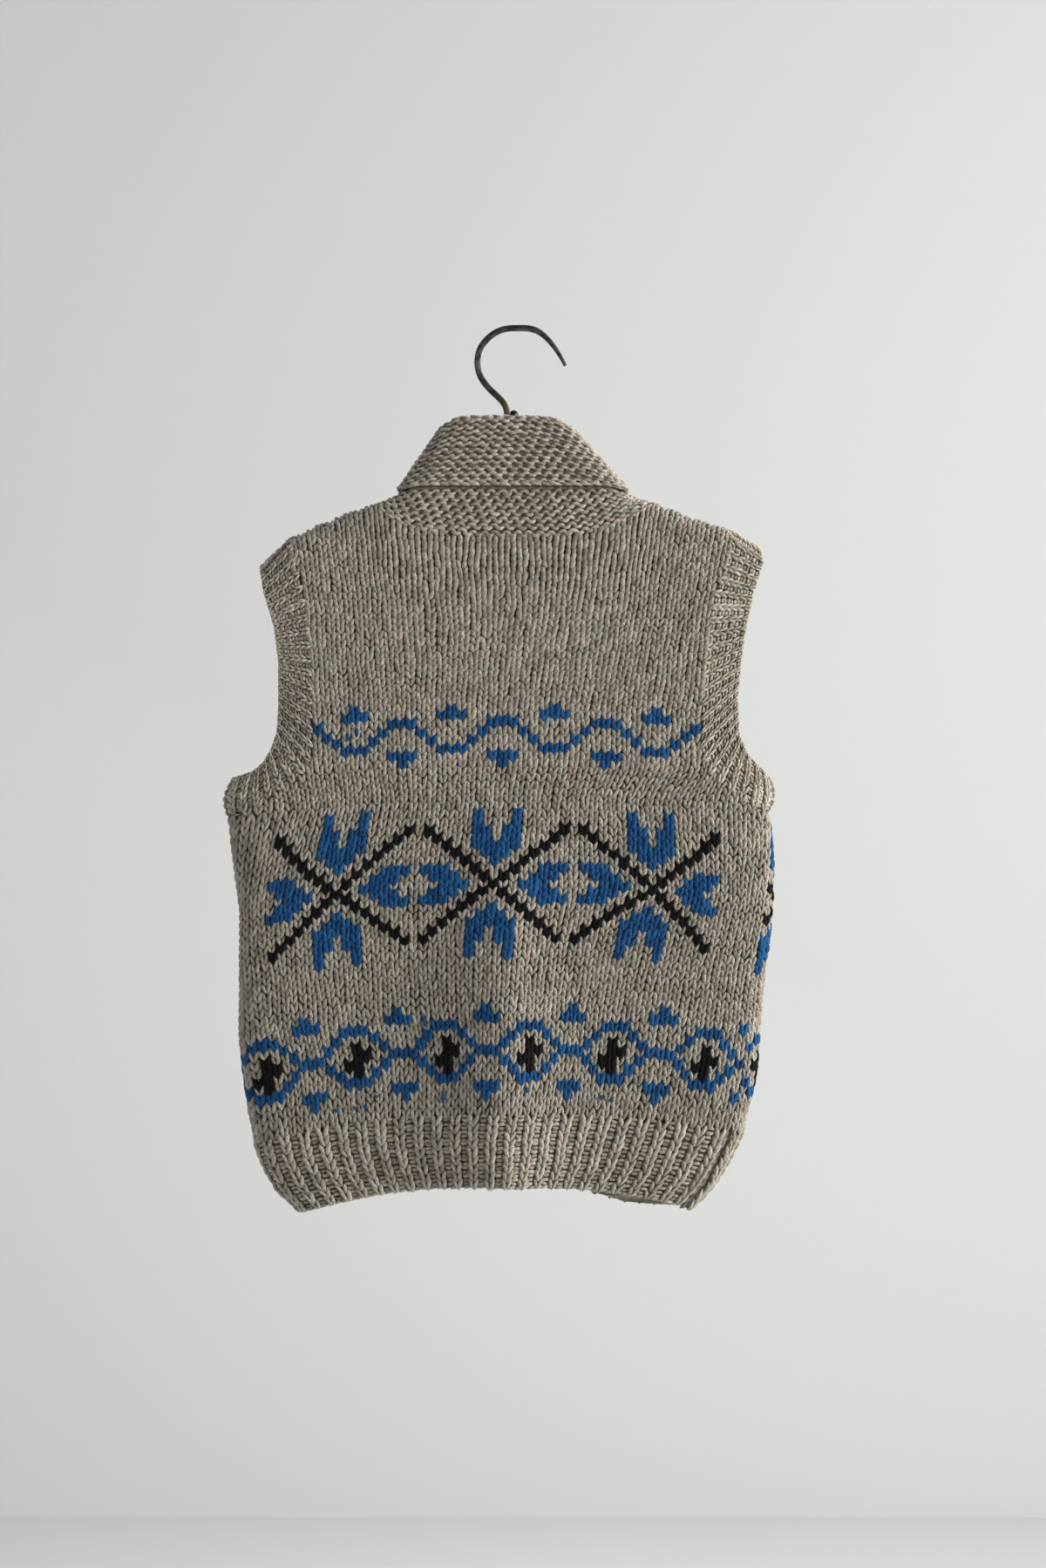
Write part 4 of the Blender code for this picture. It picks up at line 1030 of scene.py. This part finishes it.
def yarn_material(name, dark, middle, light, speck=0.5, haze=0.25):
    """Wool: fibres along the strand, plies round it, drifting heather tones."""
    wool = Shading(name)
    yarn = wool.add("ShaderNodeAttribute", {}, "Vector")
    yarn.node.attribute_name = "yarn"
    run, turn, tone = wool.split(yarn)
    place = wool.place()
    twist = wool.math("MULTIPLY_ADD", run, 0.55, wool.math("MULTIPLY", turn, 1.8))
    fibre_at = wool.add("ShaderNodeCombineXYZ", {0: wool.math("MULTIPLY", run, 0.22), 1: twist,
                                                 2: wool.math("MULTIPLY", tone, 97.0)})
    fibre = wool.noise(fibre_at, 3.2, 3.0, 0.65)
    patch = wool.noise(place, 260.0, 4.0, 0.7)
    patched = wool.math("MULTIPLY_ADD", patch, 0.40, wool.math("MULTIPLY", tone, 0.26))
    shade = wool.math("MULTIPLY_ADD", fibre, 0.42, patched)
    heather = wool.ramp(shade, (0.34, dark), (0.5, middle), (0.70, light))
    hue = wool.ramp(wool.noise(place, 150.0, 2.0), (0.36, (0.86, 1.0, 1.06)), (0.5, (1.0, 1.0, 1.0)),
                    (0.66, (1.08, 0.97, 0.92)))
    plies = wool.math("SINE", wool.math("MULTIPLY", twist, 3.6))
    relief = wool.math("MULTIPLY_ADD", plies, 0.35, fibre)
    return wool.surface({"Base Color": wool.mix(speck, heather, hue, "MULTIPLY"),
                         "Normal": wool.bump(relief, 0.85, 0.0007), "Roughness": 0.95,
                         "Specular IOR Level": 0.12, "Sheen Weight": haze, "Sheen Roughness": 0.6})


def ground_material(name, colour, painted_shade):
    """The inside of the knitting and what shows between stitches: rows of purl bumps. Its colour is painted
    shade, darker than the yarn and darkest in the bumps' hollows.
    """
    wool = Shading(name)
    place = wool.place()
    x, _, z = wool.split(place)
    across, up = [wool.math("SINE", wool.math("MULTIPLY", axis, 2 * math.pi / (pitch * MM)))
                  for axis, pitch in ((x, STITCH_WIDTH), (z, STITCH_HEIGHT))]
    fuzz = wool.noise(place, 420.0, 3.0)
    relief = wool.math("MULTIPLY_ADD", fuzz, 1.4, wool.math("MULTIPLY_ADD", across, 0.45, up))
    # The colour runs from the dark end in the bumps' hollows to the lit end on their tops: painted shade.
    shade = wool.math("MULTIPLY_ADD", relief, 0.3, 0.25)
    return wool.surface({"Base Color": wool.ramp(shade, (0.0, painted_shade), (1.0, colour)),
                         "Normal": wool.bump(relief, 0.8, 0.0012), "Roughness": 0.97,
                         "Specular IOR Level": 0.1, "Sheen Weight": 0.15})


def iron_material(name, worn, brassy):
    """Blackened iron, worn bright in streaks, with brassy heat colours at the foot of the hook."""
    iron = Shading(name)
    place = iron.place()
    patches = iron.noise(place, 190.0, 6.0, 0.7)
    streaks = iron.ramp(patches, (0.36, (0.028, 0.027, 0.027)), (0.66, (worn, worn * 0.95, worn * 0.88)))
    low = iron.add("ShaderNodeMapRange", {"Value": iron.split(place)["Z"], "From Min": -0.044,
                                          "From Max": -0.064, "To Max": brassy})
    rough = iron.add("ShaderNodeMapRange", {"Value": patches, "To Min": 0.22, "To Max": 0.48})
    return iron.surface({"Base Color": iron.mix(low, streaks, (0.13, 0.105, 0.045, 1)),
                         "Normal": iron.bump(patches, 0.3, 0.0003), "Roughness": rough,
                         "Metallic": 0.95})


def plain_material(name, colour, roughness):
    return Shading(name).surface({"Base Color": (*colour, 1), "Roughness": roughness})


def make_camera():
    data = bpy.data.cameras.new("camera")
    data.lens = CAMERA_LENS
    data.sensor_width = 36.0
    item = bpy.data.objects.new("camera", data)
    item.location = CAMERA_PLACE
    item.rotation_euler = (math.radians(90), 0, 0)
    bpy.context.scene.collection.objects.link(item)
    bpy.context.scene.camera = item
    bpy.context.scene.view_settings.view_transform = "Standard"


def area_light(name, place, aim, size, power, colour):
    data = bpy.data.lights.new(name, "AREA")
    data.shape = "RECTANGLE"
    data.size, data.size_y = size
    data.energy = power
    data.color = colour
    item = bpy.data.objects.new(name, data)
    item.location = place
    way = np.array(aim) - np.array(place)
    flat = math.hypot(way[0], way[1])
    item.rotation_euler = (math.atan2(flat, -way[2]), 0, math.atan2(way[1], way[0]) - math.pi / 2)
    bpy.context.scene.collection.objects.link(item)


def make_room():
    """A pale floor and backdrop, with soft lights."""
    world = bpy.data.worlds.new("world")
    bpy.context.scene.world = world
    world.use_nodes = True
    sky = world.node_tree.nodes["Background"]
    sky.inputs[0].default_value = (0.96, 0.98, 1.0, 1)
    sky.inputs[1].default_value = 0.17
    wall = plain_material("pale_wall", (0.70, 0.708, 0.702), 0.95)
    low_left, low_right = (-9, WALL_Y, FLOOR_Z), (9, WALL_Y, FLOOR_Z)
    for name, points in (("backdrop", [low_left, low_right, (9, WALL_Y, 5), (-9, WALL_Y, 5)]),
                         ("floor", [(-9, -7, FLOOR_Z), (9, -7, FLOOR_Z), low_right, low_left])):
        mesh = bpy.data.meshes.new(name)
        mesh.from_pydata(points, [], [(0, 1, 2, 3)])
        item = bpy.data.objects.new(name, mesh)
        mesh.materials.append(wall)
        bpy.context.scene.collection.objects.link(item)
    for light in LIGHTS:
        area_light(*light)


def body_pieces(side, top, yarns, ground):
    """The wall of a panel as outer and inner points, its ground and its stitches."""
    outer, normal = panel_grid(side, top)
    outer[0, :, 2] += SEAM_GAP / 2
    inner = keep_side(outer - normal * PANEL_WALL, side)
    face = keep_side(outer - normal * BASE_DEPTH, side)
    base = wall_mesh(f"{side}_ground", face, inner, False, ground)
    cloth = panel_cloth(side)
    stitches = knit_panel(side, cloth, yarns)
    if side == "back":
        stitches.append(peeping_floats(cloth, yarns["blue"]))
    return (outer, inner), base, stitches


def hem_pieces(side, yarn, ground):
    """The ground and stitches of a panel's hem rib."""
    grid, normal = level_grid(RIB_LEVELS, side, np.linspace(0.0, 1.0, 91))
    grid, normal = grid[:-1], normal[:-1]
    grid[-1, :, 2] -= SEAM_GAP
    for row, z_middle in zip(grid, RIB_LEVELS):
        row[:, 2] -= hem_drop(row[:, 0], z_middle, side)
    base = wall_mesh(f"{side}_hem_ground", grid - normal * BASE_DEPTH, grid - normal * RIB_WALL, False,
                     ground)
    pitch = STITCHES / HEM_RIBS
    knit_columns = -HALF + pitch * (np.arange(HEM_RIBS) + 0.5)
    return base, [rib_stitches(f"{side}_hem_stitches", panel_cloth(side, True), knit_columns,
                               knit_columns[:-1] + pitch / 2, np.arange(-RIB_ROWS, 0),
                               HEM_SEED[side], HEM_EDGE_ROW, yarn)]


def armhole_pieces(word, column, edge, seed, rims, yarn, ground):
    """The ground and stitches of the band round an armhole, whose seam is a column of the rims."""
    half = BAND_RIBS * 2
    grid = band_surface(column, edge, rims, np.linspace(0, 1, 9), half)
    round_arm = np.roll(grid, -1, axis=1) - np.roll(grid, 1, axis=1)
    normal = unit(np.cross(round_arm, np.gradient(grid, axis=0)))
    if normal[4, half // 2, 1] > 0:
        normal = -normal
    base = wall_mesh(f"armhole_band_{word}_ground", grid - normal * BASE_DEPTH, grid - normal * RIB_WALL,
                     True, ground)
    closed, outward = [np.concatenate([field, field[:, :1]], axis=1) for field in (grid, normal)]
    cloth = Cloth(np.arange(closed.shape[1]) / 2.0, np.linspace(-0.5, BAND_ROWS - 0.5, 9), closed, outward)
    return base, [rib_stitches(f"armhole_band_{word}_stitches", cloth, np.arange(0.5, 2 * BAND_RIBS, 2),
                               np.arange(1.5, 2 * BAND_RIBS, 2), np.arange(BAND_ROWS), seed,
                               BAND_EDGE_ROW, yarn)]


def collar_pieces(back, front, yarn, ground):
    """The ground of the collar and the garter stitches of its three faces."""
    stations = collar_stations(back, front)
    base = collar_ground(stations, ground)
    fall, stand, inside = collar_cloths(stations)
    faces = {"fall": garter(fall, 13, 700, 1.0, 56.5, edge=True),
             "stand": garter(stand, 7, 740, 0.5, 21.6, (0.27, 0.73)),
             "inside": garter(inside, 14, 780, 1.0, 38.5)}
    return base, [join_strands(f"collar_{word}_stitches", parts, yarn)
                  for word, parts in faces.items()]


def knit_pieces():
    """The ground and stitch pieces of every knitted node."""
    yarns = {
        "ground": yarn_material("oatmeal_heather_wool", (0.175, 0.151, 0.117), (0.325, 0.286, 0.229),
                                (0.52, 0.466, 0.388)),
        # The rib and band yarns are lighter copies of the same oatmeal wool: painted light that lifts the
        # deeper shade of the ribs, the armhole bands and the collar.
        "rib": yarn_material("oatmeal_rib_wool_painted_light", (0.205, 0.177, 0.137), (0.38, 0.335, 0.268),
                             (0.60, 0.538, 0.448)),
        "band": yarn_material("oatmeal_band_wool_painted_light", (0.24, 0.207, 0.16), (0.44, 0.388, 0.311),
                              (0.68, 0.61, 0.508)),
        "blue": yarn_material("blue_wool", (0.004, 0.037, 0.115), (0.008, 0.066, 0.19),
                              (0.018, 0.115, 0.30), speck=0.2, haze=0.06),
        "black": yarn_material("black_wool", (0.0015, 0.0015, 0.0018), (0.003, 0.003, 0.0035),
                               (0.008, 0.008, 0.010), speck=0.2, haze=0.03),
    }
    # Both grounds are oatmeal darkened as painted shade between and under the stitches, with a darker
    # painted shade colour for their hollows.
    ground = ground_material("oatmeal_purl_side_painted_shade", (0.30, 0.27, 0.21), (0.085, 0.072, 0.052))
    rib_ground = ground_material("oatmeal_rib_hollows_painted_shade", (0.44, 0.396, 0.313), (0.21, 0.181, 0.137))
    pieces, walls = {}, {}
    for side, top in (("back", BACK_TOP), ("front", FRONT_TOP)):
        walls[side], base, stitches = body_pieces(side, top, yarns, ground)
        pieces[side] = base, stitches
        pieces[f"{side}_hem_rib"] = hem_pieces(side, yarns["rib"], rib_ground)
    rims = [walls["back"][0], walls["front"][0]]
    for word, column, edge, seed in (("left", 0, BAND_LEFT, 500), ("right", -1, BAND_RIGHT, 600)):
        pieces[f"armhole_band_{word}"] = armhole_pieces(word, column, edge, seed, rims, yarns["band"],
                                                        rib_ground)
    pieces["collar"] = collar_pieces(walls["back"], walls["front"], yarns["rib"], rib_ground)
    return pieces


def main():
    make_camera()
    make_room()
    for name, (base, stitches) in knit_pieces().items():
        for piece in [base] + stitches:
            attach(piece, "root")
        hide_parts(name)
    iron = iron_material("blackened_iron_worn", 0.17, 0.75)
    dull = iron_material("blackened_iron_dull", 0.05, 0.0)
    for name, metal in (("hanger_hook", iron), ("hanger_arms", iron), ("hanger_knuckle", dull)):
        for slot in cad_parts[name].material_slots:
            slot.material = metal


main()
